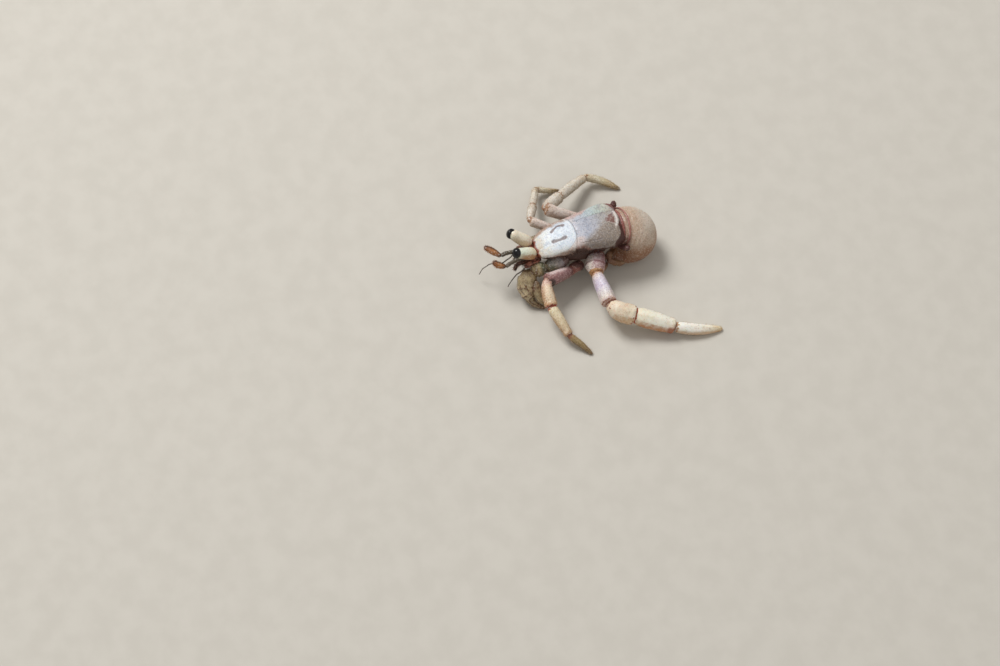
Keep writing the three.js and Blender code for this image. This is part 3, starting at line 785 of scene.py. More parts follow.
def node_points(name: str) -> Array:
    """A CAD node's vertices, in millimetres."""
    return np.array([vertex.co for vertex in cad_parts[name].data.vertices]) / MM


def farthest(points: Array, start: Array) -> Array:
    """The one of some points that lies farthest from a start."""
    return points[np.argmax(np.linalg.norm(points - start, axis=1))]


def joint_between(one: str, other: str) -> Array:
    """The middle of the place where two CAD nodes come nearest.

    Args:
        one: A node.
        other: Its neighbour.

    Returns:
        A point in millimetres.
    """
    a, b = node_points(one), node_points(other)
    apart = np.linalg.norm(a[:, None] - b[None], axis=2)
    near = apart < apart.min() + 0.35
    return (a[near.any(axis=1)].mean(axis=0) + b[near.any(axis=0)].mean(axis=0)) / 2


@dataclass(frozen=True)
class Line:
    """The middle line of a piece, from its root out to its tip."""

    root: Array
    tip: Array

    @property
    def length(self) -> float:
        """Its length in millimetres."""
        return float(np.linalg.norm(self.tip - self.root))

    @property
    def ahead(self) -> Array:
        """The direction from root to tip."""
        return unit(self.tip - self.root)

    def along(self, points: Array) -> Array:
        """How far along each point lies, 0 at the root and 1 at the tip."""
        return (points - self.root) @ self.ahead / self.length

    def around(self, points: Array) -> Array:
        """The angle of each point round the line, 0 on top, in radians."""
        up = FORWARD if abs(self.ahead[2]) > NEARLY_UPRIGHT else UP
        side = unit(np.cross(up, self.ahead))
        top = np.cross(self.ahead, side)
        away = points - self.root
        return np.arctan2(away @ side, away @ top)

    def map_spots(self, points: Array) -> Array:
        """Where points lie on a map rolled round the line, 0..1 both ways."""
        turned = (self.around(points) / TURN + 0.5) % 1
        return np.stack([turned, np.clip(self.along(points), 0, 1)], axis=1)


# ---------------------------------------------------------------- bristles


@dataclass
class Bristles:
    """Stiff tapered hairs, modelled once and set in their hundreds as one mesh."""

    name: str
    finish: BristleFinish
    cells: int = 1
    sides: int = 5
    bow: float = 0.22
    places: list[Array] = field(default_factory=list)
    ways: list[Array] = field(default_factory=list)
    lengths: list[Array] = field(default_factory=list)
    widths: list[Array] = field(default_factory=list)
    roots: list[Array] = field(default_factory=list)

    def add(
        self, cell: int, line_uv: Array, places: Array, ways: Array, lengths: Array, width: float
    ) -> None:
        """Sets more hairs.

        Args:
            cell: Which column of the map they belong to.
            line_uv: Where each stands round and along its skin, 0..1.
            places: Their roots, in millimetres.
            ways: The directions that they point in.
            lengths: Their lengths, in millimetres.
            width: Their radius at the root, in millimetres.
        """
        if len(places) == 0:
            return
        column = np.stack([(cell + line_uv[:, 0]) / self.cells, line_uv[:, 1]], axis=1)
        low, high = ROOM
        tips = np.clip(places + unit(ways) * lengths[:, None], low + HAIR_ROOM, high - HAIR_ROOM)
        self.roots.append(np.clip(column, PATCH, 1 - PATCH))
        self.places.append(places)
        self.ways.append(unit(tips - places))
        self.lengths.append(np.linalg.norm(tips - places, axis=1))
        self.widths.append(np.full(len(places), width))

    def pattern(self) -> tuple[Array, list[list[int]]]:
        """One hair of unit length and width, as vertices and faces."""
        one = Clay.rod(self.sides, [(0, 1), (0.35, 0.85), (0.7, 0.5), (1, 0.04)])
        points = one.points
        faces = [list(face.vertices) for face in one.thing.data.polygons]
        bpy.data.objects.remove(one.thing)
        return points, faces

    def build(self) -> None:
        """Makes the mesh of all the hairs, with its map, and finishes it."""
        if not self.places:
            return
        points, faces = self.pattern()
        places = np.concatenate(self.places)
        ways = np.concatenate(self.ways)
        lengths = np.concatenate(self.lengths)
        widths = np.concatenate(self.widths)
        roots = np.concatenate(self.roots)
        level = np.where(np.abs(ways[:, 2:3]) > NEARLY_UPRIGHT, FORWARD[None], UP[None])
        side = unit(np.cross(level, ways))
        top = np.cross(ways, side)
        bowed = self.bow * points[:, 2] ** 2
        shape = (
            places[:, None]
            + ways[:, None] * (points[None, :, 2:3] * lengths[:, None, None])
            + side[:, None] * (points[None, :, 0:1] * widths[:, None, None])
            + top[:, None] * (points[None, :, 1:2] * widths[:, None, None])
            - top[:, None] * (bowed[None, :, None] * lengths[:, None, None])
        )
        count = len(points)
        joined = [[i + start * count for i in face] for start in range(len(places)) for face in faces]
        mesh = bpy.data.meshes.new(self.name)
        mesh.from_pydata(shape.reshape(-1, 3).tolist(), [], joined)
        thing = bpy.data.objects.new(self.name, mesh)
        bpy.context.scene.collection.objects.link(thing)
        self.map(mesh, points, roots, count)
        made = Clay(thing)
        made.tag("along", np.tile(points[:, 2], len(places)))
        made.finish(self.name, self.finish)

    def map(self, mesh: bpy.types.Mesh, points: Array, roots: Array, count: int) -> None:
        """Lays each hair on a small patch of the map, at its root's place.

        Args:
            mesh: The mesh of all the hairs.
            points: The vertices of one hair.
            roots: Each root's place on the map.
            count: How many vertices a hair has.
        """
        owners = np.empty(len(mesh.loops), np.int32)
        mesh.loops.foreach_get("vertex_index", owners)
        hair, vertex = np.divmod(owners, count)
        spread = np.stack([(points[:, 0] + points[:, 1]) / 4 + 0.5, points[:, 2]], axis=1)
        places = roots[hair] + (spread[vertex] - 0.5) * PATCH
        layer = mesh.uv_layers.new(name=ATLAS)
        layer.data.foreach_set("uv", places.astype(np.float32).ravel())


# ---------------------------------------------------------------- limbs


@dataclass(frozen=True)
class Relief:
    """How a limb piece is worked over its plain form. Heights are in millimetres."""

    rim: float = 0.05
    ridge: float = 0.0
    hollow: float = 0.02
    grain: float = 0.012
    grain_size: float = 0.28
    uneven: float = 0.02
    crease: float = 0.0
    taper: float = 0.0
    softer: int = 0


@dataclass(frozen=True)
class Hairs:
    """How many hairs a limb piece carries and how they stand."""

    count: int = 40
    length: float = 0.28
    width: float = 0.014
    lean: float = 1.1
    fringe: float = 0.5


@dataclass(frozen=True)
class LimbPiece:
    """One hard piece of a limb."""

    node: str
    finish: ShellFinish
    relief: Relief = Relief()
    hairs: Hairs = Hairs()
    soft_end: bool = True


# Where a limb piece has its forms. Places along it are shares of its length, from its inner joint;
# places round it are angles from its crest, in radians. A width is how far a hump falls to a third.
CREST_WIDTH = 0.35
HOLLOW_AT, HOLLOW_WIDTH = 0.8, 0.4  # the long hollows either side of the crest
FLANK_AT, FLANK_WIDTH = 1.5, 0.42
RIM_AT, RIM_WIDTH = 0.93, 0.05  # the raised rim round the outer joint
GROOVE_AT, GROOVE_WIDTH = 0.82, 0.06  # the shallow groove before that rim
CREASE_AT, CREASE_WIDTH = 0.56, 0.05  # the crease that makes a first piece a bell
SWELL_AT, SWELL_WIDTH = 0.74, 0.12  # the swelling beyond the crease
CREASE_BEND = 0.06  # how far the crease runs to and fro along the piece
STRIPES = 9  # how many stripes a claw piece has round it


@dataclass
class Limb:
    """A jointed limb, its pieces listed from the body out."""

    name: str
    carried_by: str
    pieces: tuple[LimbPiece, ...]
    membrane: FleshFinish
    bristles: BristleFinish
    voxel: float = 0.09
    rounds: int = 9
    regain: float = 0.03
    joint_reach: float = 0.5
    skin_voxel: float = 0.08
    skin_rounds: int = 6
    skin_regain: float = 0.025

    def line(self, index: int) -> Line:
        """The middle line of a piece, from its inner joint to its outer one.

        Args:
            index: Which piece.

        Returns:
            Its line.
        """
        node = self.pieces[index].node
        inner = self.carried_by if index == 0 else self.pieces[index - 1].node
        root = joint_between(inner, node)
        if index + 1 < len(self.pieces):
            return Line(root, joint_between(node, self.pieces[index + 1].node))
        return Line(root, farthest(node_points(node), root))

    @staticmethod
    def narrow(clay: Clay, piece: LimbPiece, line: Line) -> None:
        """Draws a piece in towards its outer joint.

        Args:
            clay: Its mesh.
            piece: The piece.
            line: Its middle line.
        """
        points = clay.points
        along = line.along(points)
        middle = line.root + np.outer(along * line.length, line.ahead)
        kept = 1 - piece.relief.taper * ease(along, 0.5, 1.0)
        clay.points = middle + (points - middle) * kept[:, None]

    def shape(self, piece: LimbPiece, line: Line) -> Clay:
        """Works one piece: smooth form, ridge, hollows, outer rim and fine grain.

        Args:
            piece: The piece.
            line: Its middle line.

        Returns:
            The shaped piece.
        """
        clay = Clay.of_nodes(piece.node)
        clay.remodel(self.voxel, self.rounds + piece.relief.softer, self.regain, line=line)
        self.narrow(clay, piece, line)
        points = clay.points
        along = line.along(points)
        around = line.around(points)
        relief = piece.relief
        mid = ease(along, 0.08, 0.3) * ease(along, 1.0, 0.8)
        heights = relief.ridge * hump(around, 0, CREST_WIDTH) * mid
        hollows = hump(around, HOLLOW_AT, HOLLOW_WIDTH) + hump(around, -HOLLOW_AT, HOLLOW_WIDTH)
        heights -= relief.hollow * hollows * mid
        if piece.soft_end:
            heights += relief.rim * hump(along, RIM_AT, RIM_WIDTH)
            heights -= 0.5 * relief.rim * hump(along, GROOVE_AT, GROOVE_WIDTH)
        heights += relief.uneven * rough(points, 0.7) * mid + 0.4 * relief.uneven * rough(points, 0.3)
        bent = along + CREASE_BEND * np.cos(around + 0.8)
        crease = hump(bent, CREASE_AT, CREASE_WIDTH)
        heights += relief.crease * (0.4 * hump(bent, SWELL_AT, SWELL_WIDTH) - crease)
        rising = 0.35 + 0.65 * ease(np.cos(around), -0.3, 0.8)
        heights += relief.grain * grains(points, relief.grain_size) * mid * rising
        left = clay.normals @ SHADED_SIDE
        right = clay.normals @ LIT_SIDE
        clay.push(heights)
        clay.stay_above_floor()
        clay.tag("along", along)
        # under: the underside, which the limb finishes paint darker as painted shade.
        clay.tag("under", ease(np.cos(around), -0.1, -0.7))
        # crest: the top, which the limb finishes paint paler as a painted highlight.
        clay.tag("crest", ease(np.cos(around), 0.5, 0.95) * mid)
        # flank: both sides, painted browner, partly the pieces' own brown edges and partly painted shade.
        clay.tag("flank", hump(np.abs(around), FLANK_AT, FLANK_WIDTH) * mid)
        # left: the side turned from the key lamp, painted darker and more orange, partly the legs' own
        # orange-brown and partly painted shade.
        clay.tag("left", ease(left + 0.12 * rough(points, 0.5, 4), 0.45, 0.8))
        # right: the side facing the key lamp, which the leg finishes paint pale as a painted highlight; the
        # left claw's palm is painted dark brown there.
        clay.tag("right", ease(right + 0.12 * rough(points, 0.5, 4), 0.5, 0.85) * mid)
        # fore: the forward side, painted cream-white on the third left leg's first piece, partly its own pale
        # knob and partly a painted highlight.
        clay.tag("fore", ease(clay.normals @ AHEAD_AND_RIGHT + 0.1 * rough(points, 0.4, 6), 0.1, 0.55) * mid)
        outer_end = ease(along + 0.03 * rough(points, 0.3), 0.78, 0.88)
        clay.tag("heel", ease(left, 0.1, 0.6) * outer_end)
        clay.tag("crease", crease if relief.crease else 0 * along)
        striped = np.cos(around * STRIPES + 2.2 * rough(points, 0.8, 5))
        clay.tag("stripes", ease(striped, 0.1, 0.9) * mid)
        return clay

    def set_hairs(self, bristles: Bristles, index: int, clay: Clay, line: Line) -> None:
        """Sets the hairs of one piece, more of them near its outer end.

        Args:
            bristles: Where they are gathered.
            index: Which piece.
            clay: Its shaped mesh.
            line: Its middle line.
        """
        hairs = self.pieces[index].hairs
        rng = stream(self.pieces[index].node)
        points, normals = clay.points, clay.normals
        along = line.along(points)
        weights = (1 - hairs.fringe) + hairs.fringe * 3 * ease(along, 0.55, 0.95)
        weights *= (along > 0.1) & (along < 0.985) & (points[:, 2] > 0.12)
        chosen = rng.choice(len(points), hairs.count, replace=False, p=weights / weights.sum())
        way = unit(normals[chosen] + line.ahead * hairs.lean + 0.25 * rng.normal(size=(hairs.count, 3)))
        way[:, 2] = np.maximum(way[:, 2], -0.1)
        lengths = hairs.length * rng.uniform(0.55, 1.3, hairs.count)
        spot = line.map_spots(points[chosen])
        sunk = points[chosen] - normals[chosen] * 0.02
        bristles.add(index, spot, sunk, way, lengths, hairs.width)

    def soft_joint(self, index: int) -> Clay:
        """The soft folded skin that bridges the joint at a piece's inner end.

        Args:
            index: Which piece.

        Returns:
            The skin, to be joined with the limb's others.
        """
        line = self.line(index)
        outer = Clay.of_nodes(self.pieces[index].node)
        reach = min(self.joint_reach, 0.4 * line.length)
        outer.keep_side(line.root + line.ahead * reach, line.ahead)
        outer.take()
        if index > 0:
            before = self.line(index - 1)
            inner = Clay.of_nodes(self.pieces[index - 1].node)
            reach = min(self.joint_reach, 0.4 * before.length)
            inner.keep_side(before.tip - before.ahead * reach, -before.ahead)
            self.narrow(inner, self.pieces[index - 1], before)
            outer.join([inner])
        outer.remodel(self.skin_voxel, self.skin_rounds, self.skin_regain, finer=False)
        points = outer.points
        away = (points - line.root) @ line.ahead
        outer.push(0.02 * rough(points, 0.3) - 0.02 * hump(away, 0, 0.06))
        outer.stay_above_floor()
        outer.tag("along", np.full(len(points), index / (len(self.pieces) - 1)))
        outer.tag("fold", hump(away, 0, 0.12))
        return outer

    def build(self) -> None:
        """Builds and dresses the whole limb."""
        bristles = Bristles(self.name + "_bristles", self.bristles, cells=len(self.pieces))
        skins = []
        for index, piece in enumerate(self.pieces):
            line = self.line(index)
            clay = self.shape(piece, line)
            self.set_hairs(bristles, index, clay, line)
            clay.finish(piece.node + "_shell", piece.finish, [piece.node])
            skins.append(self.soft_joint(index))
        skins[0].join(skins[1:])
        skins[0].finish(self.name + "_joints", self.membrane)
        bristles.build()


# ---------------------------------------------------------------- carapace


@dataclass
class BodyForm:
    """The carapace's outer form: domed upright sections from front to rear."""

    front: float
    rear: float
    half_widths: tuple[float, ...] = (1.4, 2.02, 2.4, 2.52, 2.62, 2.85, 3.1, 3.2, 2.75)
    tops: tuple[float, ...] = (5.3, 6.05, 6.5, 6.75, 6.9, 6.95, 7.0, 6.9, 6.6)
    undersides: tuple[float, ...] = (4.3, 4.2, 4.05, 3.95, 3.95, 3.9, 3.8, 3.8, 4.1)
    level: float = 0.6
    shoulder: float = 0.72
    bluntness: float = 0.06

    def half_at(self, y: Array) -> Array:
        """Half the width of the section at a place along the body."""
        share = self.share(y)
        return closing(share, self.bluntness, self.bluntness) * profile(self.half_widths)(share)

    def share(self, y: Array) -> Array:
        """How far back a place along the body lies, 0..1."""
        return np.clip((np.asarray(y, float) - self.front) / (self.rear - self.front), 0, 1)

    def turn_at(self, across: Array, y: Array) -> Array:
        """The angle in the section whose surface is this far from the middle plane.

        Args:
            across: Distance to the left, in millimetres.
            y: Place along the body.

        Returns:
            Angles from the top, in radians.
        """
        share = np.clip(np.abs(across) / np.maximum(self.half_at(y), 0.01), 0, 1)
        return np.sign(across) * np.arcsin(share ** (1 / self.shoulder))

    def point(self, turn: Array, y: Array, inset: float = 0.0) -> Array:
        """Points of the form.

        Args:
            turn: Angle from the top of the section, positive to the left, in radians.
            y: Place along the body.
            inset: How far inside the form they lie, in millimetres.

        Returns:
            The points, in rows.
        """
        share = self.share(y)
        close = closing(share, self.bluntness, self.bluntness)
        top = profile(self.tops)(share)
        low = profile(self.undersides)(share)
        middle = low + self.level * (top - low)
        across, rise = np.sin(turn), np.cos(turn)
        wide = np.sign(across) * np.abs(across) ** self.shoulder
        high = np.where(rise > 0, np.abs(rise) ** self.shoulder, rise)
        tall = np.where(rise > 0, top - middle, middle - low)
        half = profile(self.half_widths)(share)
        x = MIDDLE_X + wide * close * (half - inset)
        z = middle + high * close * (tall - inset)
        return np.stack([x, np.broadcast_to(y, x.shape), z], axis=-1)


@dataclass(frozen=True)
class Mark:
    """A dark mark on the shield: its ends along Y, its places across and its width."""

    front: float
    rear: float
    across: tuple[float, ...]
    wide: float


MARKS = (
    Mark(front=-10.7, rear=-9.05, across=(-0.47, -0.4, -0.35, -0.36, -0.4), wide=0.24),
    Mark(front=-10.45, rear=-8.75, across=(-1.95, -2.2, -2.4, -2.4, -2.28), wide=0.2),
)


WEDGE_TIP = (-1.05, -3.4)  # x and y of the tip of the brown wedge before the carapace's rear edge
WEDGE_SPREAD = 0.62  # how fast the wedge grows wider behind its tip
REAR_RIM = -1.75  # where the pale rear rim runs, along the bent rear edge


class Plate(Enum):
    """The plates of the carapace."""

    SHIELD = "shield"
    HEART = "carapace_heart"
    GILL_LEFT = "carapace_gill_left"
    GILL_RIGHT = "carapace_gill_right"


@dataclass(frozen=True)
class PlateRelief:
    """Heights and depths worked into the carapace's plates, in millimetres."""

    edge_fall: float = 0.035
    swell: float = 0.022
    fine_swell: float = 0.008
    ripple: float = 0.018
    ripple_length: float = 0.42
    margin_rim: float = 0.03
    crease: float = 0.035
    front_rim: float = 0.07
    front_hollow: float = 0.04
    mark: float = 0.045
    middle_rise: float = 0.045
    ridge: float = 0.05
    rear_rim: float = 0.07
    rear_drop: float = 0.1
    lobe: float = 0.1
    seam_drop: float = 0.035


@dataclass
class Carapace:
    """The hard front shield, the softer hind plates and the body wall under them."""

    finishes: dict[Plate, ShellFinish]
    wall: FleshFinish
    bristles: BristleFinish
    groove_y: float = -7.5
    groove_bow: float = 1.6
    seam: float = 1.05
    seam_bow: float = 0.5
    half_gap: float = 0.012
    tuck: float = 0.07
    thickness: float = 0.16
    edge_turn: float = 2.0
    margin_turns: tuple[float, ...] = (2.0, 1.6, 1.25, 1.03, 1.08, 1.75, 2.0, 1.95, 1.95)
    wall_inset: float = 0.16
    heights: PlateRelief = PlateRelief()

    def __post_init__(self) -> None:
        """Takes the form's ends from the frame."""
        self.form = BodyForm(front=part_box("shield")[0].y / MM, rear=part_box("carapace_heart")[1].y / MM)

    def groove(self, across: Array) -> Array:
        """Where the cervical groove runs, as y for a distance from the middle plane."""
        beyond = 2 * self.form.half_widths[-1]
        return self.groove_y - 2 * self.groove_bow * (np.asarray(across) / beyond) ** 2

    def seam_at(self, y: Array) -> Array:
        """How far the seams beside the heart region lie from the middle plane."""
        share = np.clip(1 - np.asarray(y) / (self.groove_y - self.groove_bow), 0, 1)
        return self.seam + 2 * self.seam_bow * share * (1 - share)

    def shield_front(self, turn: Array) -> Array:
        """The shield's front margin, with its middle point and a tooth on each side."""
        across = np.sin(turn)
        teeth = 0.16 * hump(np.abs(across), 0.62, 0.13)
        return self.form.front + 0.2 - 0.2 * hump(across, 0, 0.2) - teeth

    def lay(self, plate: Plate, u: Array, v: Array) -> tuple[Array, Array]:
        """Lays a plate's flat grid over the form.

        Args:
            plate: Which plate.
            u: Place across it, 0 on the right and 1 on the left.
            v: Place along it, 0 in front and 1 behind.

        Returns:
            Each point's turn in the section and its y.
        """
        form = self.form
        rear = form.rear - 0.05
        if plate is Plate.SHIELD:
            turn = (2 * u - 1) * self.edge_turn
            y = self.groove_y + 0 * turn
            for _ in range(6):
                across = form.point(turn, y)[..., 0] - MIDDLE_X
                y = self.groove(across) - self.half_gap
            start = self.shield_front(turn)
            return turn, start + v * (y - start)
        hind_start = self.groove_y + self.half_gap
        y = hind_start + v * (rear - hind_start)
        if plate is Plate.HEART:
            across = (2 * u - 1) * (self.seam_at(y) - self.half_gap)
            y = y + (self.groove(across) - self.groove_y) * (1 - v)
            return form.turn_at(across, y), y
        side = 1 if plate is Plate.GILL_LEFT else -1
        share = u if side > 0 else 1 - u
        start = self.seam_at(y) + (-self.tuck if side > 0 else self.half_gap)
        inner = np.abs(form.turn_at(start, y))
        turn = side * (inner + share * (self.edge_turn - inner))
        across = form.point(turn, y)[..., 0] - MIDDLE_X
        return turn, y + (self.groove(across) - self.groove_y) * (1 - v)

    def relief(self, plate: Plate, points: Array, turn: Array, u: Array, v: Array) -> Array:
        """Heights worked into a plate's outer face.

        Args:
            plate: Which plate.
            points: Its points.
            turn: Their angles in the section.
            u: Places across it.
            v: Places along it.

        Returns:
            Heights in millimetres.
        """
        across = points[:, 0] - MIDDLE_X
        y = points[:, 1]
        deep = self.heights
        heights = -deep.edge_fall * ease(self.edges(plate, u, v), 0.2, 0.0)
        heights += deep.swell * rough(points, 1.1) + deep.fine_swell * rough(points, 0.32)
        side = ease(np.abs(turn), 0.9, 1.5)
        ripples = np.cos(y * TURN / deep.ripple_length + 2 * rough(points, 1.2, 4))
        heights += deep.ripple * ripples * side
        heights += deep.margin_rim * hump(np.abs(turn), self.edge_turn - 0.12, 0.07)
        heights -= deep.crease * self.crease(plate, points, turn)
        if plate is Plate.SHIELD:
            heights += deep.front_rim * hump(v, 0.025, 0.025)
            hollows = hump(np.abs(across), 0.55 + 0.5 * v, 0.13) * ease(v, 0.45, 0.1)
            heights -= deep.front_hollow * hollows
            heights -= deep.mark * self.marks(points)
            heights += deep.middle_rise * hump(across, 0, 0.9) * hump(v, 0.45, 0.3)
            return heights
        far = y - WEDGE_TIP[1]
        ridge = hump(np.abs(points[:, 0] - WEDGE_TIP[0]) - 0.3 - WEDGE_SPREAD * far, 0, 0.14)
        arc = self.rear_arc(points)
        heights += deep.ridge * ridge * ease(far, 0, 0.4) * ease(arc, -1.7, -2.1)
        heights += deep.rear_rim * hump(arc, REAR_RIM + 0.01, 0.2)
        heights -= deep.rear_drop * ease(arc, -1.52, -1.3)
        heights += deep.lobe * self.lobe(points)
        if plate is Plate.GILL_LEFT:
            heights -= deep.seam_drop * ease(u, 0.02, 0.0)
        return heights

    @staticmethod
    def marks(points: Array) -> Array:
        """The two dark dumbbell marks on the shield, 0..1."""
        found = np.zeros(len(points))
        for mark in MARKS:
            share = np.clip((points[:, 1] - mark.front) / (mark.rear - mark.front), 0, 1)
            middle = profile(mark.across)(share)
            beyond = points[:, 1] - mark.front - share * (mark.rear - mark.front)
            away = np.hypot(points[:, 0] - middle, beyond)
            wide = mark.wide * (0.75 + 0.45 * hump(share, 0.06, 0.22) + 0.5 * hump(share, 0.94, 0.22))
            wide = wide * (1 + 0.25 * rough(points, 0.25, 8))
            found = np.maximum(found, ease(away / wide, 1.2, 0.5))
        return found * (points[:, 2] > 5)

    @staticmethod
    def lobe(points: Array) -> Array:
        """The darker swollen lobe over the left gills, 0..1."""
        behind = points[:, 1] + 1.94 * points[:, 0] + 5.35 + 0.5 * rough(points, 0.7, 11)
        return ease(behind, -0.8, 1.4) * ease(points[:, 0], -1.9, -1.1)

    @staticmethod
    def rear_arc(points: Array) -> Array:
        """Places along the body, measured from a rear edge that bends forward at the sides."""
        x = points[:, 0]
        return points[:, 1] + 0.2 * (np.minimum(x, 0.15) + 1.4) ** 2 + 0.75 * np.maximum(x - 1, 0) ** 2

    @staticmethod
    def groove_end(points: Array) -> Array:
        """How far points lie behind the left end of the groove, which bends forward."""
        return points[:, 1] + 7.75 + 1.15 * np.maximum(points[:, 0] - 0.1, 0) ** 1.65

    def crease(self, plate: Plate, points: Array, turn: Array) -> Array:
        """The fine crease behind the groove's left end and along the left gills, 0..1."""
        x, y = points[:, 0], points[:, 1]
        if plate is Plate.SHIELD:
            ends = ease(x, -0.1, 0.2) * ease(turn, 1.3, 1.1)
            return hump(self.groove_end(points), 0, 0.06) * ends
        if plate is Plate.GILL_LEFT:
            ends = ease(y, -7.7, -7.2) * ease(y, -4.0, -4.9)
            return hump(x + 0.06 * rough(points, 0.6, 3) - 1.1 - 0.09 * (y + 7.1), 0, 0.06) * ends
        return 0 * x

    def edges(self, plate: Plate, u: Array, v: Array) -> Array:
        """How far in from a plate's open edges points lie. Heart and left gills are grown together."""
        across = {Plate.HEART: u, Plate.GILL_LEFT: 1 - u}.get(plate, np.minimum(u, 1 - u))
        return np.minimum(np.minimum(v, 1 - v) * 6, across * 5)

    def plate(self, plate: Plate, across: int, along: int) -> None:
        """Builds and dresses one plate.

        Args:
            plate: Which plate.
            across: Faces across it.
            along: Faces along it.
        """
        clay = Clay.sheet(across, along)
        flat = clay.points
        u, v = (flat[:, 0] + 1) / 2, (flat[:, 1] + 1) / 2
        turn, y = self.lay(plate, u, v)
        clay.points = self.form.point(turn, y)
        points = clay.points
        clay.push(self.relief(plate, points, turn, u, v))
        self.paint(clay, plate, turn, u, v)
        clay.modify("SOLIDIFY", thickness=self.thickness, offset=-1)
        clay.modify("BEVEL", width=0.035, segments=2, limit_method="ANGLE", angle_limit=math.radians(50))
        clay.finish(plate.value + "_plate", self.finishes[plate], [plate.value])

    def paint(self, clay: Clay, plate: Plate, turn: Array, u: Array, v: Array) -> None:
        """Keeps the places of a plate's markings with its mesh.

        Args:
            clay: The plate.
            plate: Which plate.
            turn: The points' angles in the section.
            u: Their places across it.
            v: Their places along it.
        """
        points = clay.points
        x, y = points[:, 0], points[:, 1]
        wavy = 0.14 * rough(points, 0.6, 2)
        along = self.form.share(y)
        left_margin = turn - profile(self.margin_turns)(along)
        right_margin = -turn - 0.62 - 0.6 * ease(y, -6.0, -4.4)
        margin = np.maximum(left_margin, right_margin) + wavy
        clay.tag("along", along)
        clay.tag("sides", ease(np.abs(turn) + wavy, 0.5, 1.1))
        low_edge = ease(turn + wavy, 1.56, 1.78)
        clay.tag("margin", np.maximum(ease(margin, -0.12, 0.2), low_edge))
        # Painted shade: near-black brown under the shield's left front margin and along the plates' lowest
        # edge, where shade lies under the plates.
        recess_shade = ease(left_margin + wavy, 0.15, 0.5) * ease(y, -10.0, -8.2)
        clay.tag("recess_shade", np.maximum(recess_shade, low_edge))
        clay.tag("crease", self.crease(plate, points, turn))
        behind = ease(self.groove_end(points), -0.05, 0.08)
        clay.tag("corner", behind * ease(x, -0.2, 0.4) * ease(y + wavy, -6.3, -7.1))
        clay.tag("marks", self.marks(points))
        open_edge = ease(self.edges(plate, u, v), 0.12, 0.0)
        if plate is Plate.SHIELD:
            clay.tag("front", ease(v + 0.015 * rough(points, 0.3, 3), 0.075, 0.05))
            clay.tag("seams", ease(v, 0.975, 0.995) * ease(x, 0.6, 0.2))
            clay.tag("pale", hump(v, 0.94, 0.03) * 0.5)
            return
        clay.tag("lobe", self.lobe(points))
        clay.tag("seams", open_edge)
        far = y - WEDGE_TIP[1]
        ragged = 0.16 * rough(points, 0.35, 12)
        half = 0.12 + WEDGE_SPREAD * far
        middle = x - WEDGE_TIP[0]
        inside = ease(np.abs(middle) - half + ragged, 0.15, -0.1) * ease(far + ragged, -0.1, 0.15)
        arc = self.rear_arc(points)
        # rear: beyond the rear arc, where the plate falls to the abdomen; the heart and left gill finishes
        # ink it near-black, its own red-brown deepened as painted shade in the crease there.
        rear = ease(arc + 0.5 * ragged, -1.52, -1.38)
        clay.tag("rear", rear)
        mottled = 0.5 + 0.5 * ease(rough(points, 0.24, 14), -0.15, 0.2)
        clay.tag("wedge", inside * ease(arc + ragged, -1.95, -2.15) * mottled)
        strip = hump(arc + 0.5 * ragged, REAR_RIM, 0.2) * ease(np.abs(x + 1.0), 1.45, 1.05)
        edges = hump(np.abs(middle) - half - 0.08, 0, 0.08) * ease(far, 0.1, 0.5)
        clay.tag("pale", np.maximum(strip, 0.6 * edges * ease(arc, -1.7, -2.0)) * (1 - rear))

    def body_wall(self) -> None:
        """The closed body wall that shows in the grooves and below the plates."""
        clay = Clay.ball(96, 72)
        ball = clay.points
        polar = np.hypot(ball[:, 0], ball[:, 1])
        turn = np.arctan2(ball[:, 0], ball[:, 1])
        turn = np.where(polar < 1e-5, 0, turn)
        share = (1 + ball[:, 2]) / 2
        form = self.form
        y = form.front + 0.22 + share * (form.rear - form.front - 0.3)
        shape = form.point(turn, y, self.wall_inset)
        poles = polar < 1e-5
        for end in (share < 0.5, share >= 0.5):
            pole = poles & end
            near = np.argsort(np.abs(share - share[pole][0]))[1:97]
            shape[pole] = shape[near].mean(axis=0)
            shape[pole, 1] = y[pole]
        clay.points = shape
        clay.weld(0.001)
        points = clay.points
        folds = ease(points[:, 2], 5.2, 4.6)
        clay.push(0.03 * rough(points, 0.5) * folds + 0.03 * np.cos(points[:, 1] * TURN / 0.5) * folds)
        clay.tag("along", self.form.share(points[:, 1]))
        # low: the lower wall, painted darker as shade below the plates.
        clay.tag("low", folds)
        clay.finish("body_wall", self.wall)

    def edge_hairs(self) -> None:
        """Short hairs along the lower and hind edges of the plates."""
        rng = stream("carapace")
        count = 260
        side = rng.choice((-1, 1), count)
        y = rng.uniform(self.form.front + 0.6, self.form.rear - 0.4, count)
        turn = side * (self.edge_turn - rng.uniform(0.02, 0.2, count))
        points = self.form.point(turn, y)
        out = unit(np.stack([np.sin(turn), 0.5 + 0 * turn, np.cos(turn)], axis=1))
        out = unit(out + 0.2 * rng.normal(size=(count, 3)))
        spots = np.stack([turn / TURN + 0.5, self.form.share(y)], axis=1)
        bristles = Bristles("carapace_bristles", self.bristles)
        bristles.add(0, spots, points, out, rng.uniform(0.12, 0.3, count), 0.011)
        bristles.build()

    def build(self) -> None:
        """Builds and dresses the carapace."""
        self.body_wall()
        self.plate(Plate.SHIELD, 150, 120)
        self.plate(Plate.HEART, 60, 140)
        self.plate(Plate.GILL_LEFT, 90, 140)
        self.plate(Plate.GILL_RIGHT, 90, 140)
        self.edge_hairs()


# ---------------------------------------------------------------- abdomen


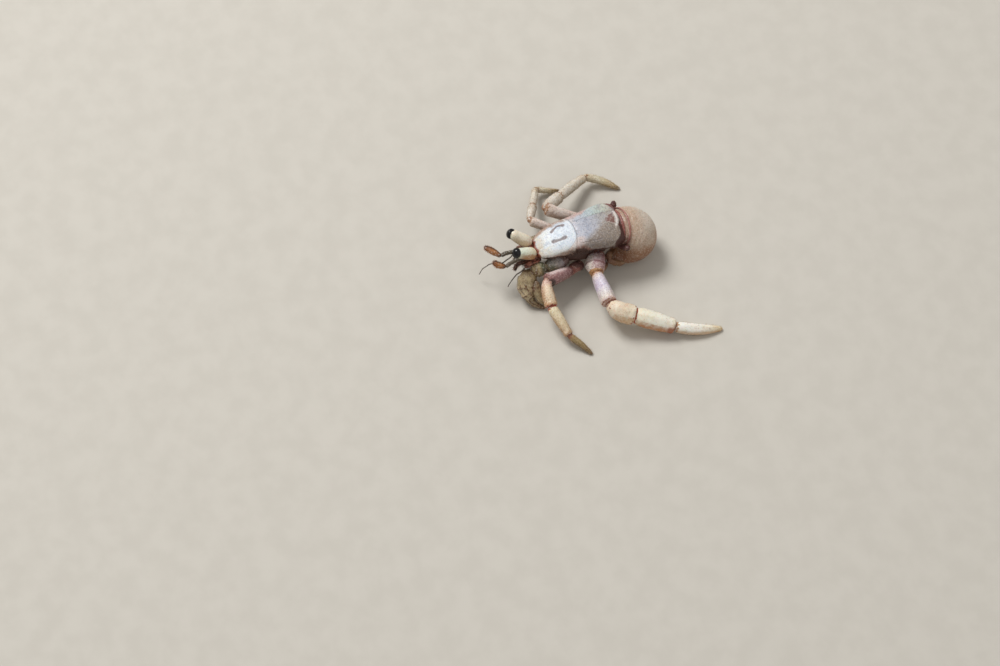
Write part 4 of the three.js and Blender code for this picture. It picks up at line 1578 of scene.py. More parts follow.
@dataclass
class Abdomen:
    """The soft curled abdomen, its two hard bands and its fine hairs."""

    skin: FleshFinish
    band: dict[str, ShellFinish]
    bristles: BristleFinish
    ball_radius: float = 3.4
    ball_z: float = 3.34
    pivot_y: float = -2.7
    pivot_z: float = 2.75
    crease: float = 0.22
    fan_start: float = 82.0
    fan_end: float = -90.0
    fan_share: float = 0.85
    tail_run: float = 1.5
    tail_taper: float = 0.35
    waist_rise: float = 0.4
    half_widths: tuple[float, ...] = (2.4, 2.85, 3.3, 3.4, 3.2, 2.55, 1.7, 1.15, 0.9)
    middles: tuple[float, ...] = (-0.85, -0.55, -0.15, 0, 0.05, 0.4, 0.95, 1.3, 1.35)
    bands: tuple[tuple[str, float, float], ...] = (("tergite_1", 72.5, 67.5), ("tergite_2", 64, 57.5))
    band_low: float = 3.9
    band_lift: float = 0.03
    band_width: tuple[float, ...] = (0.8, 0.4)
    hair_count: int = 1500
    sides: int = 160
    rings: int = 220
    lines: float = 64
    fold_step: float = 2.4
    fold_height: float = 0.025
    wrinkle_step: float = 1.1
    wrinkle_height: float = 0.008
    bed_depth: float = 0.08
    bed_width: float = 0.016

    def reach(self, angle: Array) -> Array:
        """How far the skin lies from the pivot, at an angle above the floor in degrees."""
        back, up = np.cos(np.radians(angle)), np.sin(np.radians(angle))
        towards = -(self.pivot_y * back + (self.pivot_z - self.ball_z) * up)
        away = self.pivot_y**2 + (self.pivot_z - self.ball_z) ** 2 - self.ball_radius**2
        return towards + np.sqrt(towards**2 - away) + ease(angle, 45, 85) * self.waist_rise

    def point(self, share: Array, turn: Array, lift: Array = 0.0) -> Array:
        """Points of the abdomen's form.

        Args:
            share: Place from the waist, 0, to the tail, 1.
            turn: Angle round the section, 0 on the outer side, in radians.
            lift: How far off the form they lie, in millimetres.

        Returns:
            The points, in rows.
        """
        fan = np.minimum(share / self.fan_share, 1)
        run = np.maximum(share - self.fan_share, 0) / (1 - self.fan_share)
        angle = self.fan_start + (self.fan_end - self.fan_start) * fan
        reach = self.reach(angle)
        close = closing(share, 0.05, 0.09)
        thin = 1 - run * self.tail_taper
        middle, tall = (reach + self.crease) / 2, (reach - self.crease) / 2
        rise, across = np.cos(turn), np.sin(turn)
        away = middle + rise * close * thin * (tall + np.where(rise > 0, lift, 0))
        half = close * thin * (profile(self.half_widths)(share) + lift)
        return np.stack(
            [
                profile(self.middles)(share) + across * half,
                self.pivot_y + away * np.cos(np.radians(angle)) - run * self.tail_run,
                self.pivot_z + away * np.sin(np.radians(angle)),
            ],
            axis=-1,
        )

    def share_of(self, angle: float) -> float:
        """The place along the abdomen at an angle above the floor."""
        return self.fan_share * (self.fan_start - angle) / (self.fan_start - self.fan_end)

    def build_skin(self) -> None:
        """The one skin of the whole abdomen."""
        clay = Clay.ball(self.sides, self.rings)
        ball = clay.points
        polar = np.hypot(ball[:, 0], ball[:, 1])
        share = np.arccos(np.clip(ball[:, 2], -1, 1)) / math.pi
        turn = np.where(polar < 1e-5, 0, np.arctan2(ball[:, 0], ball[:, 1]))
        clay.points = self.point(share, turn)
        clay.face_outward()
        points = clay.points
        outer = ease(np.cos(turn), -0.5, 0.3) * ease(share, 0.03, 0.08)
        lines = share * self.lines + 0.9 * rough(points, 1.3, 3)
        near_waist = ease(share, 0.3, 0.14)
        heights = self.fold_height * np.cos(lines * TURN / self.fold_step) * outer * near_waist
        heights += self.wrinkle_height * np.cos(lines * TURN / self.wrinkle_step) * outer
        heights += 0.05 * rough(points, 1.9) + 0.02 * rough(points, 0.5) + 0.008 * rough(points, 0.2)
        for _, first, last in self.bands:
            middle = (self.share_of(first) + self.share_of(last)) / 2
            heights -= self.bed_depth * hump(share, middle, self.bed_width) * outer
        floor_room = ease(points[:, 2], 0.0, 0.5)
        clay.push(np.where(heights > 0, heights * 0.4, heights) * floor_room - 0.05 * floor_room)
        clouded = 0.5 * rough(points, 1.4, 6)
        to_left = points[:, 0] * 0.35
        clay.tag("along", share)
        # low: the lower side, reaching higher on the crab's left away from the key lamp, painted darker brown
        # as shade.
        clay.tag("low", ease(points[:, 2] + clouded - to_left, 2.6, 0.8))
        # rim: orange-brown over the lower side, partly the skin's own and partly painted shade, and over the
        # hind end.
        lower_side = ease(points[:, 2] + 1.4 * clouded - to_left, 4.4, 2.2) * ease(share, 0.1, 0.22)
        hindmost = ease(points[:, 1] + 0.25 * points[:, 0] + clouded, 5.8, 7.0)
        clay.tag("rim", np.maximum(lower_side, hindmost * ease(points[:, 0], -1.6, 0.4)))
        # high: the top, nearer the key lamp, painted paler as a painted highlight.
        top = ease(points[:, 2] + 0.8 * clouded - to_left, 4.0, 5.8)
        clay.tag("high", top * ease(share, 0.15, 0.25))
        first_band, last_band = self.share_of(self.bands[0][1]), self.share_of(self.bands[1][2])
        waist = ease(share + 0.006 * rough(points, 0.5), first_band + 0.012, first_band - 0.004)
        before_last = ease(share, last_band + 0.02, last_band - 0.01)
        ends = ease(np.abs(turn) + 0.3 * clouded, 0.8, 1.25) * before_last
        clay.tag("waist", np.maximum(waist, ends))
        clay.weld(0.001)
        clay.finish("abdomen_skin", self.skin, ["abdomen_front", "abdomen_middle", "abdomen_rear"])

    def build_band(self, node: str, first: float, last: float, width: float) -> None:
        """One hard band arched over the front of the abdomen.

        Args:
            node: The CAD node that it stands for.
            first: Its front edge, as an angle above the floor.
            last: Its hind edge.
            width: The share of that room that it fills.
        """
        clay = Clay.sheet(120, 16)
        flat = clay.points
        v = (flat[:, 1] + 1) / 2
        narrow = 0.45 + (v - 0.5) * width
        share = self.share_of(first) + narrow * (self.share_of(last) - self.share_of(first))
        limit = np.full(len(share), 0.3)
        for turn in np.linspace(0.3, 1.8, 61):
            low = self.point(share, np.full(len(share), turn), self.band_lift)[:, 2]
            limit = np.where(low > self.band_low + 0.05, turn, limit)
        ends = limit - 0.1 * (2 * v - 1) ** 2
        side = flat[:, 0]
        clay.points = self.point(share, side * ends, self.band_lift)
        clay.face_outward()
        if (clay.normals @ UP).mean() < 0:
            clay.flip()
        points = clay.points
        heights = 0.05 * hump(v, 0.5, 0.35) + 0.03 * rough(points, 0.5) + 0.012 * rough(points, 0.18)
        heights -= 0.12 * ease(np.abs(side), 0.9, 1.0)
        clay.push(heights)
        clay.tag("along", v)
        clay.tag("sides", ease(np.abs(side) + 0.1 * rough(points, 0.6), 0.45, 0.8))
        clay.tag("top_end", ease(side + 0.1 * rough(points, 0.4), -0.35, -0.6))
        clay.modify("SOLIDIFY", thickness=0.14, offset=-1)
        clay.modify("BEVEL", width=0.05, segments=2, limit_method="ANGLE", angle_limit=math.radians(50))
        clay.finish(node + "_band", self.band[node], [node])

    def hairs(self) -> None:
        """Fine short hairs over the whole skin."""
        rng = stream("abdomen")
        share = rng.uniform(0.07, 0.93, self.hair_count)
        turn = rng.uniform(-math.pi, math.pi, self.hair_count)
        points = self.point(share, turn)
        step = 0.01
        forward = self.point(share + step, turn) - points
        sideways = self.point(share, turn + step) - points
        out = unit(np.cross(sideways, forward))
        centre = np.array([0.0, 0.0, self.ball_z])
        out *= np.sign(np.sum(out * (points - centre), axis=1))[:, None]
        kept = (points[:, 2] > 0.4) & (np.cos(turn) > -0.35)
        way = unit(out + 1.3 * unit(forward) + 0.3 * rng.normal(size=out.shape))
        spots = np.stack([turn / TURN + 0.5, share], axis=1)
        lengths = rng.uniform(0.1, 0.26, self.hair_count)
        bristles = Bristles("abdomen_hairs", self.bristles, sides=4)
        bristles.add(0, spots[kept], (points - 0.06 * out)[kept], way[kept], lengths[kept], 0.008)
        bristles.build()

    def build(self) -> None:
        """Builds and dresses the abdomen."""
        self.build_skin()
        for (node, first, last), width in zip(self.bands, self.band_width):
            self.build_band(node, first, last, width)
        self.hairs()


# ---------------------------------------------------------------- head


SCALE_RINGS = ((0, 0.12), (0.12, 0.26), (0.4, 0.28), (0.7, 0.17), (0.95, 0.03))  # height and radius
SCALE_FLATNESS = 0.42  # how thick the scale at a stalk's foot is, as a share of its width


@dataclass
class Eye:
    """A stalked eye: cream stalk, dark cornea and the small scale at its foot."""

    hand: str
    stalk: ShellFinish
    cornea: CorneaFinish
    scale: ShellFinish
    notch: float = 0.0
    notch_reach: float = 0.9
    notch_width: float = 0.3
    stalk_reach: float = 0.84
    swelling: float = 0.22
    radius: float = 0.7
    cap: float = 0.58
    sides: int = 48

    def line(self) -> Line:
        """The eye's middle line, from the stalk's foot to the end of the cornea."""
        stalk, cornea = node_points("eye_stalk_" + self.hand), node_points("eye_" + self.hand)
        ahead = unit(cornea.mean(axis=0) - stalk.mean(axis=0))
        reach = cornea @ ahead
        foot = (stalk @ ahead).min()
        middle = cornea.mean(axis=0)
        return Line(middle + ahead * (foot - middle @ ahead), middle + ahead * (reach.max() - middle @ ahead))

    def stand(self, clay: Clay, line: Line) -> None:
        """Turns a piece that was drawn up along +Z into its place on a line."""
        turned = Vector(tuple(line.ahead)).to_track_quat("Z", "Y").to_matrix()
        clay.points = clay.points @ np.array(turned).T + line.root

    def build_stalk(self, line: Line) -> None:
        """The stalk, swollen in its first half, with a rounded end inside the cornea."""
        length = line.length
        rings = []
        for share in np.linspace(0, 1, 15):
            thick = self.radius * (1 + self.swelling * math.exp(-(((share - 0.38) / 0.3) ** 2)))
            foot = math.sqrt(1 - (1 - min(share / 0.22, 1)) ** 2)
            end = math.sqrt(1 - max((share - 0.8) / 0.2, 0) ** 2 * 0.92)
            rings.append((share * length * self.stalk_reach, max(thick * foot * end, 0.12)))
        clay = Clay.rod(self.sides, rings)
        clay.modify("SUBSURF", levels=2, render_levels=2)
        self.stand(clay, line)
        points = clay.points
        along, around = line.along(points), line.around(points)
        clay.push(0.02 * rough(points, 0.5) - 0.02 * hump(np.abs(around), 1.2, 0.4) * hump(along, 0.45, 0.2))
        clay.tag("along", along)
        normals = clay.normals
        mottle = 0.2 * rough(points, 0.35, 5)
        lower_left = ease(normals @ SHADED_SIDE + mottle, 0.25, 0.7)
        # Painted shade: the lower side, turned from the key lamp, in orange-brown.
        clay.tag("under", lower_left * ease(along, 0.8, 0.55))
        # Painted highlight: the upper middle in greenish-white.
        clay.tag("crest", ease(normals @ UP + mottle, 0.5, 0.95) * hump(along, 0.62, 0.3))
        clay.tag("foot", ease(along + 0.02 * rough(points, 0.3), 0.085, 0.05))
        clay.finish(f"eye_stalk_{self.hand}_shell", self.stalk, ["eye_stalk_" + self.hand])

    def build_cornea(self, line: Line) -> None:
        """The cornea, a rounded cap whose edge is notched where the stalk reaches into it."""
        clay = Clay.ball(self.sides, 36)
        ball = clay.points
        size = np.array([self.radius, self.radius, self.cap])
        clay.points = ball * size + np.array([0, 0, line.length - self.cap])
        self.stand(clay, line)
        points = clay.points
        along, around = line.along(points), line.around(points)
        back = ease(along, self.notch_reach + 0.03, self.notch_reach - 0.04)
        notch_turn = line.around((line.root + NOTCH_WAY)[None])[0]
        clay.push(-self.notch * hump(np.cos(around - notch_turn), 1, self.notch_width) * back)
        clay.tag("along", ease(along, 0.72, 0.8))
        clay.finish(f"eye_{self.hand}_cornea", self.cornea, ["eye_" + self.hand])

    def build_scale(self, line: Line) -> None:
        """The pointed scale at the stalk's foot."""
        clay = Clay.rod(16, SCALE_RINGS)
        clay.modify("SUBSURF", levels=2, render_levels=2)
        inward = 1 if self.hand == "right" else -1
        clay.points = clay.points * np.array([1.0, SCALE_FLATNESS, 1.0])
        side = unit(np.cross(UP, line.ahead))
        root = line.root + line.ahead * 0.3 + side * inward * 0.4 + np.array([0, 0, 0.42])
        self.stand(clay, Line(root, root + line.ahead - side * inward * 0.2))
        points = clay.points
        clay.push(0.01 * rough(points, 0.2))
        scale = Line(root, root + line.ahead * SCALE_RINGS[-1][0])
        clay.tag("along", scale.along(points))
        clay.tag("under", ease(np.abs((points - root) @ side), 0.1, 0.2))
        clay.finish(f"eye_scale_{self.hand}", self.scale)

    def build(self) -> None:
        """Builds and dresses the eye."""
        line = self.line()
        self.build_stalk(line)
        self.build_cornea(line)
        self.build_scale(line)


@dataclass
class Feeler:
    """A thin ringed lash that runs along the middle of its CAD node and tapers."""

    node: str
    base: str
    finish: ShellFinish
    thick: float = 0.11
    thin: float = 0.05
    ring: float = 0.16
    stations: int = 9
    sides: int = 12
    ring_depth: float = 0.16
    stops_short: float = 0.1

    def middle_line(self) -> Array:
        """Points along the middle of the node, from its base out."""
        points = node_points(self.node)
        start = joint_between(self.base, self.node)
        line = Line(start, farthest(points, start))
        along = line.along(points)
        middles = [start]
        for i in range(1, self.stations):
            share = i / self.stations
            near = np.abs(along - share) < 0.75 / self.stations
            if near.sum() >= 4:
                middles.append(points[near].mean(axis=0))
        middles.append(line.tip - line.ahead * self.stops_short)
        return np.array(middles)

    def build(self) -> None:
        """Builds and dresses the lash."""
        middles = self.middle_line()
        walked = np.concatenate([[0], np.cumsum(np.linalg.norm(np.diff(middles, axis=0), axis=1))])
        length = walked[-1]
        steps = max(int(length / self.ring * 4), 24)
        rings = [(i / steps, 1.0) for i in range(steps + 1)]
        clay = Clay.rod(self.sides, rings)
        flat = clay.points
        share = flat[:, 2]
        even = np.interp(np.linspace(0, 1, 12), walked / length, walked) / length
        paths = [profile(np.interp(even * length, walked, axis)) for axis in middles.T]
        centre = np.stack([path(share) for path in paths], axis=1)
        ahead = unit(np.stack([path(share + 0.02) - path(share - 0.02) for path in paths], axis=1))
        side = unit(np.cross(UP[None], ahead))
        top = np.cross(ahead, side)
        ringed = 1 + self.ring_depth * np.cos(share * length * TURN / self.ring)
        radius = (self.thick + (self.thin - self.thick) * share**0.8) * ringed
        wide, high = (flat[:, :2] * radius[:, None]).T
        clay.points = centre + side * wide[:, None] + top * high[:, None]
        clay.weld(0.0005)
        clay.tag("along", share[: len(clay.points)])
        clay.finish(self.node + "_lash", self.finish, [self.node])


@dataclass
class HeadPart:
    """A small piece of the head, a remodelled copy of its CAD node."""

    node: str
    carried_by: str
    finish: ShellFinish
    bristles: BristleFinish
    hair_count: int = 0
    hair_length: float = 0.3
    rings: float = 0.0
    voxel: float = 0.06
    regain: float = 0.02
    rounds: int = 18

    def build(self) -> None:
        """Builds and dresses the piece with its hairs."""
        clay = Clay.of_nodes(self.node)
        clay.remodel(self.voxel, self.rounds, self.regain)
        points = clay.points
        root = joint_between(self.carried_by, self.node)
        line = Line(root, farthest(node_points(self.node), root))
        along, around = line.along(points), line.around(points)
        heights = 0.012 * rough(points, 0.3)
        if self.rings:
            steps = np.abs((along * line.length / self.rings) % 1 - 0.5)
            heights -= 0.05 * ease(steps, 0.4, 0.5)
        clay.push(heights)
        clay.tag("along", along)
        # under: the underside, which the head finishes paint darker as painted shade; crest: the top, which
        # they paint paler as a painted highlight.
        clay.tag("under", ease(np.cos(around), 0.1, -0.7))
        clay.tag("crest", ease(np.cos(around), 0.4, 0.95))
        clay.tag("right_side", ease(clay.normals @ unit(np.array([-0.9, 0.3, 0.5])), 0.25, 0.7))
        clay.tag("spots", ease(rough(points, 0.35, 9), 0.12, 0.3))
        if self.hair_count:
            self.hairs(clay, line)
        clay.finish(self.node + "_shell", self.finish, [self.node])

    def hairs(self, clay: Clay, line: Line) -> None:
        """Sets the piece's hairs.

        Args:
            clay: Its shaped mesh.
            line: Its middle line.
        """
        rng = stream(self.node)
        points, normals = clay.points, clay.normals
        along = line.along(points)
        weights = ease(along, 0.25, 0.8) + 0.05
        chosen = rng.choice(len(points), self.hair_count, replace=False, p=weights / weights.sum())
        way = unit(normals[chosen] + line.ahead * 0.9 + 0.2 * rng.normal(size=(self.hair_count, 3)))
        spots = line.map_spots(points[chosen])
        lengths = self.hair_length * rng.uniform(0.5, 1.2, self.hair_count)
        bristles = Bristles(self.node + "_bristles", self.bristles)
        bristles.add(0, spots, points[chosen], way, lengths, 0.01)
        bristles.build()


@dataclass
class Thorax:
    """The underside between the legs, with its cross plates."""

    finish: ShellFinish
    plates: int = 5
    groove: float = 0.12
    voxel: float = 0.12
    rounds: int = 26
    regain: float = 0.05

    def build(self) -> None:
        """Builds and dresses the thorax."""
        clay = Clay.of_nodes("thorax")
        clay.remodel(self.voxel, self.rounds, self.regain)
        points = clay.points
        low, high = (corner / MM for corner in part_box("thorax"))
        along = (points[:, 1] - low.y) / (high.y - low.y)
        under = ease(points[:, 2], 3.6, 2.9)
        step = np.abs((along * self.plates) % 1 - 0.5)
        heights = -self.groove * ease(step, 0.36, 0.5) * under
        heights -= self.groove * hump(points[:, 0], MIDDLE_X, 0.12) * under
        heights += 0.025 * rough(points, 0.6)
        clay.push(heights)
        clay.tag("along", along)
        clay.tag("under", ease(-clay.normals @ UP, 0.3, 0.8))
        clay.finish("thorax_shell", self.finish, ["thorax"])


# ---------------------------------------------------------------- studio


LAMP_DISTANCE = 0.6  # in metres
LAMP_CENTRE = (0, -0.008, 0)  # what the lamps stand round, in metres


@dataclass
class Studio:
    """Pale floor, soft light from the upper left and the camera. Millimetres and degrees."""

    azimuth: float = 71.0
    elevation: float = 60.0
    lens: float = 100.0
    sensor: float = 36.0
    target: tuple[float, float, float] = (6.735, -20.509, 0.0)
    distance: float = 361.11
    sky: tuple[float, float, float, float] = (1.0, 0.98, 0.95, 1.0)
    sky_strength: float = 0.38
    floor: FloorFinish = FloorFinish()

    def way(self, azimuth: float, elevation: float) -> Vector:
        """The direction towards a place round the object."""
        a, e = math.radians(azimuth), math.radians(elevation)
        return Vector((math.sin(a) * math.cos(e), -math.cos(a) * math.cos(e), math.sin(e)))

    @staticmethod
    def stand(name: str, data: bpy.types.ID, place: Vector, back: Vector) -> bpy.types.Object:
        """Stands a camera or lamp at a place, looking against the direction towards it."""
        made = bpy.data.objects.new(name, data)
        made.location = place
        made.rotation_mode = "QUATERNION"
        made.rotation_quaternion = (-back).to_track_quat("-Z", "Y")
        bpy.context.scene.collection.objects.link(made)
        return made

    def build_camera(self) -> None:
        """The camera, looking at its target on the floor."""
        back = self.way(self.azimuth, self.elevation)
        data = bpy.data.cameras.new("camera")
        data.lens = self.lens
        data.sensor_width = self.sensor
        data.clip_start = 0.01
        data.clip_end = 10
        place = (Vector(self.target) + back * self.distance) * MM
        bpy.context.scene.camera = self.stand("camera", data, place, back)

    def light(self, name: str, azimuth: float, elevation: float, power: float, size: float) -> None:
        """A soft square lamp aimed at the object.

        Args:
            name: The lamp's name.
            azimuth: Where it stands round the object, in degrees.
            elevation: How high, in degrees.
            power: In watts.
            size: Its side, in metres.
        """
        way = self.way(azimuth, elevation)
        data = bpy.data.lights.new(name, "AREA")
        data.energy = power
        data.size = size
        self.stand(name, data, way * LAMP_DISTANCE + Vector(LAMP_CENTRE), way)

    def build(self) -> None:
        """Builds the whole studio."""
        self.build_camera()
        self.light("key", -65.0, 55.0, 2.75, 0.24)
        self.light("fill", 120.0, 45.0, 0.35, 0.6)
        world = bpy.data.worlds.new("studio")
        world.use_nodes = True
        sky = world.node_tree.nodes["Background"]
        sky.inputs["Color"].default_value = self.sky
        sky.inputs["Strength"].default_value = self.sky_strength
        bpy.context.scene.world = world
        bpy.context.scene.view_settings.view_transform = "Standard"
        Clay.put_down()
        bpy.ops.mesh.primitive_plane_add(size=3)
        floor = bpy.context.object
        floor.name = "floor"
        floor.data.materials.append(self.floor.material())


# ---------------------------------------------------------------- the crab's colours

LEG = ShellFinish("leg_cream", "legs", "dcc4a8 efe4cd ecdfc6")
CLAW = ShellFinish("claw_olive", "claws", "8a7850 a08c64", grain=0.7)
JOINT_SKIN = FleshFinish(
    "joint_skin", "legs", "a06a58 b08070", layers=(("fold", "7c4030", 0.7),), cloud="9c6450", cloud_size=0.35
)
LEG_HAIR = BristleFinish(name="leg_hair", slot="legs", root="8a6a4c", tip="dcc4a0")
CLAW_HAIR = BristleFinish(name="claw_hair", slot="claws", root="6e5636", tip="b8a074")


def dress(base: ShellFinish, name: str, **parts: tuple[str, tuple, dict]) -> dict[str, ShellFinish]:
    """The finishes of a limb's pieces.

    Args:
        base: What they share.
        name: The limb's name.
        parts: Each piece's colours, painted layers and other settings.

    Returns:
        The finish of each piece.
    """
    return {
        part: replace(base, name=f"{name}_{part}", colours=colours, layers=layers, **others)
        for part, (colours, layers, others) in parts.items()
    }


# In the limb finishes, the darker 'under' layers are painted shade and the paler 'crest' and leg 'right'
# layers painted highlight; 'left' and 'flank' mix the pieces' own browns with painted shade, and 'fore' a
# pale knob with painted highlight.
LEG_3_LEFT = dress(
    LEG,
    "leg_3_left",
    ischium=(
        "5e3a36 8a6464 a88486 b08c90 b8989a c0a09c c8a088",
        (("left", "8a6668", 0.4), ("right", "e8dcd8", 0.5), ("fore", "efe6da", 0.8), ("heel", "b0804e", 0.6)),
        {
            "inks": (("crease", "6a2c2a", 0.7),),
            "cloud": "8a5a5c",
            "cloud_share": 0.5,
            "specks": "6e4440",
            "speck_share": 0.5,
        },
    ),
    merus=(
        "d0a478 e4d8d8 d8ccdc d6cadc e4dcdc e8dcd0 d8b8a8",
        (("left", "c8b4a8", 0.5), ("right", "eceaf0", 0.5), ("heel", "b0705c", 0.5)),
        {"cloud": "bca8c0", "specks": "8c7480", "speck_share": 0.45},
    ),
    carpus=(
        "e6d4ba ecdfc8 e6d4ba e8dac0 f0e4cc",
        (("left", "cf9f68", 0.7),),
        {"cloud": "d8a88c", "cloud_share": 0.45, "specks": "a87c5c", "speck_share": 0.25},
    ),
    propodus=(
        "ece4cc f0ead6 f2eede f3efe2 eee4cc",
        (("left", "b8702e", 0.85), ("heel", "963f22", 0.75)),
        {"cloud": "e4d2a8", "cloud_share": 0.25, "specks": "b89866", "speck_share": 0.18},
    ),
    dactyl=(
        "f2eee2 f6f3ea f5f0e4 f0e6d0 d2b47c",
        (("left", "c8945a", 0.65),),
        {"cloud": "e8dcc0", "cloud_share": 0.25, "specks": "b89866", "speck_share": 0.15},
    ),
)
LEG_2_LEFT = dress(
    LEG,
    "leg_2_left",
    # The ischium's near-black browns are painted shade, darker still underneath.
    ischium=("3c221c 5a342e 6e4440", (("under", "3c221c", 0.7),), {"cloud": "4a2c26", "pale": "a08078"}),
    merus=(
        "6a4440 946c6c a47a7a a07474 906460",
        (("left", "7c5650", 0.4), ("right", "e8d4d0", 0.9)),
        {
            "inks": (("heel", "2e2018", 0.9),),
            "cloud": "85605e",
            "specks": "5a3c3a",
            "speck_share": 0.5,
            "pale": "d8c4bc",
        },
    ),
    carpus=(
        "dcbcac cda584 cba47c c79a70",
        (("left", "8a5c3e", 0.8), ("flank", "946444", 0.6), ("crest", "ecdabc", 0.75)),
        {"cloud": "b88a64", "specks": "6e4a34", "speck_share": 0.45},
    ),
    propodus=(
        "e6dcba e0d0ac d6be98 ccac84 b8906c",
        (("under", "9c7650", 0.7), ("flank", "a67c56", 0.65), ("crest", "e8dcbc", 0.5)),
        {"cloud": "c4a078", "specks": "7e5c40", "speck_share": 0.4},
    ),
    dactyl=(
        "a07c58 a48e60 9a8256 846c44 5e4428",
        (("under", "6e5634", 0.6), ("flank", "5e4630", 0.75)),
        {"cloud": "8a7048", "specks": "4e3a26", "speck_share": 0.5, "pale": "b0a080"},
    ),
)
LEG_RIGHT = dress(
    LEG,
    "leg_right",
    ischium=("a87e72 c9a89c d6bcb0", (("under", "8a6050", 0.7),), {"cloud": "c48e6e", "cloud_share": 0.5}),
    merus=(
        "cbaa9c d9c6bc dccfc6 d4c2b4",
        (("under", "9c8068", 0.7), ("flank", "a08468", 0.6)),
        {"cloud": "cdb0a4", "specks": "8a6e5c"},
    ),
    carpus=(
        "c8bcae d4ccc0 d6cec2 c4b4a0",
        (("under", "8f7852", 0.7), ("flank", "8f7654", 0.65)),
        {"cloud": "b89e7c", "specks": "7a6244"},
    ),
    propodus=(
        "cabeb0 d6cfc2 d6cec0 c8b8a0",
        (("under", "8a724a", 0.7), ("flank", "8f7850", 0.65)),
        {"cloud": "bca47e", "specks": "7a6244"},
    ),
    dactyl=(
        "c4b498 d4cab0 d0c4a4 ac9468 5a4026",
        (("under", "927a4e", 0.6), ("flank", "86704a", 0.5)),
        {"cloud": "b49e74", "specks": "6e5a3c"},
    ),
)
CLAW_LEFT = dress(
    CLAW,
    "claw_left",
    merus=(
        "806660 a89c9e aca2a2 a69c98 948c80 5a5c46 484c38 5a5a42",
        (("under", "5a4440", 0.5), ("crest", "c4bcba", 0.4)),
        {"cloud": "6a5a58", "specks": "4a3e3a", "speck_share": 0.5, "pale": "c8c0b8"},
    ),
    carpus=(
        "4a5038 5a5c44 b4a27a a08c66 8c7852",
        (("under", "5a4630", 0.7),),
        {"cloud": "5e4a30", "cloud_share": 0.55, "specks": "4a3826", "speck_share": 0.5},
    ),
    palm=(
        "988262 a69270 ae9a78 a28e6e b4a282 c0ac8a",
        (("under", "786240", 0.5), ("stripes", "b8a67c", 0.6), ("right", "664e36", 0.7)),
        {
            "cloud": "6a5438",
            "cloud_share": 0.65,
            "cloud_size": 0.9,
            "specks": "46341f",
            "speck_share": 0.55,
            "pale": "c8b894",
        },
    ),
    dactyl=(
        "7c6850 a08c6c b8a684 b8a480 a8845a",
        (("stripes", "c4b48c", 0.5),),
        {"cloud": "80684a", "cloud_share": 0.5, "specks": "4a3826", "speck_share": 0.5, "pale": "c8b894"},
    ),
)
CLAW_RIGHT = dress(
    CLAW,
    "claw_right",
    merus=("a88a7c c4b0a4 bcaa9a a89478", (("under", "7a6450", 0.7),), {"cloud": "94806c"}),
    carpus=("b8a888 9c8a66 806c4a", (("under", "62503a", 0.7),), {"cloud": "6e5a3e", "cloud_share": 0.5}),
    palm=(
        "7a6644 94825a 9c8a62 a8966e",
        (("stripes", "b8a67c", 0.5),),
        {"cloud": "604c30", "cloud_share": 0.65, "specks": "4a3822", "speck_share": 0.55},
    ),
    dactyl=("84704a a89670 8a7248 4a3420", (("stripes", "bcaa80", 0.4),), {"cloud": "705a3a"}),
)
SKIN_LEG_3_LEFT = "8a5a50 b08252 a8705c b8502c c49a70"
SKIN_LEG_2_LEFT = "6e4038 8f5c54 cca494 a84028 8a5438"
SKIN_LEG_RIGHT = "8f6256 a87c6c a07a5a a07a5a 8f6e4a"
SKIN_CLAW = "60443e 4c5238 6e5a3c 6a5232"

SHIELD_FINISH = ShellFinish(
    name="shield",
    slot="shield",
    colours="d9cbb4 e0e2e0 dfe5ec d8dfe8 d2d9e2 cfd6de c4ccd6 c4ccd6 c4ccd6",
    layers=(
        ("sides", "e0dccf", 0.6),
        ("corner", "d4beb2", 0.8),
        ("margin", "9c785e", 0.92),
        ("marks", "6c544e", 0.8),
        ("pale", "eef0ee", 0.7),
        ("seams", "8f8486", 0.55),
    ),
    inks=(
        ("marks", "6e5650", 0.35),
        # Painted shade under the shield's lower margin.
        ("recess_shade", "40241a", 0.92),
        ("crease", "6a585a", 0.42),
        ("front", "84360f", 0.95),
    ),
    cloud="b4c0ce",
    cloud_share=0.55,
    cloud_size=0.9,
    specks="8a94a4",
    speck_share=0.35,
    pale="f6f8fa",
    glow=0.12,
)
HEART_FINISH = ShellFinish(
    name="carapace_heart",
    slot="carapace",
    colours="d8d8de d8d8de d8d8de d8d8de dcd8dc bcbeca aaaebb acacb4 aca69f ac9f90 94806f",
    layers=(("lobe", "877768", 0.92), ("pale", "ece2dc", 0.9), ("seams", "85787a", 0.3)),
    # The 'rear' ink is the plate's red-brown deepened as painted shade.
    inks=(("wedge", "74403a", 0.8), ("rear", "5c2c26", 0.95)),
    cloud="8e93a2",
    cloud_share=0.5,
    cloud_size=0.6,
    specks="5e5a62",
    speck_share=0.5,
    speck_size=0.24,
    pale="c2bebc",
    glow=0.12,
)
GILL_LEFT_FINISH = replace(
    HEART_FINISH,
    name="carapace_gill_left",
    layers=(
        ("corner", "dcc6bc", 0.75),
        ("lobe", "877768", 0.92),
        ("margin", "8a5e4c", 0.92),
        ("pale", "e4dad2", 0.8),
        ("seams", "7c6a66", 0.3),
    ),
    # Painted shade: the near-black recess under the lobe, and the rear deepened to near-black.
    inks=(("recess_shade", "3c2218", 0.95), ("crease", "665650", 0.5), ("rear", "4a2620", 0.97)),
)
GILL_RIGHT_FINISH = replace(
    HEART_FINISH,
    name="carapace_gill_right",
    colours="d4d4d8 d4d4d8 d4d4d8 d4d4d8 cdc8ca b8bcc6 b0bac2 b4c2c0 b8c0b4 b4aa9c 94807a",
    layers=(("margin", "c8a498", 0.85), ("pale", "e8e8e2", 0.8), ("seams", "85787a", 0.3)),
    inks=(("wedge", "743c38", 0.85), ("rear", "743c38", 0.9)),
)
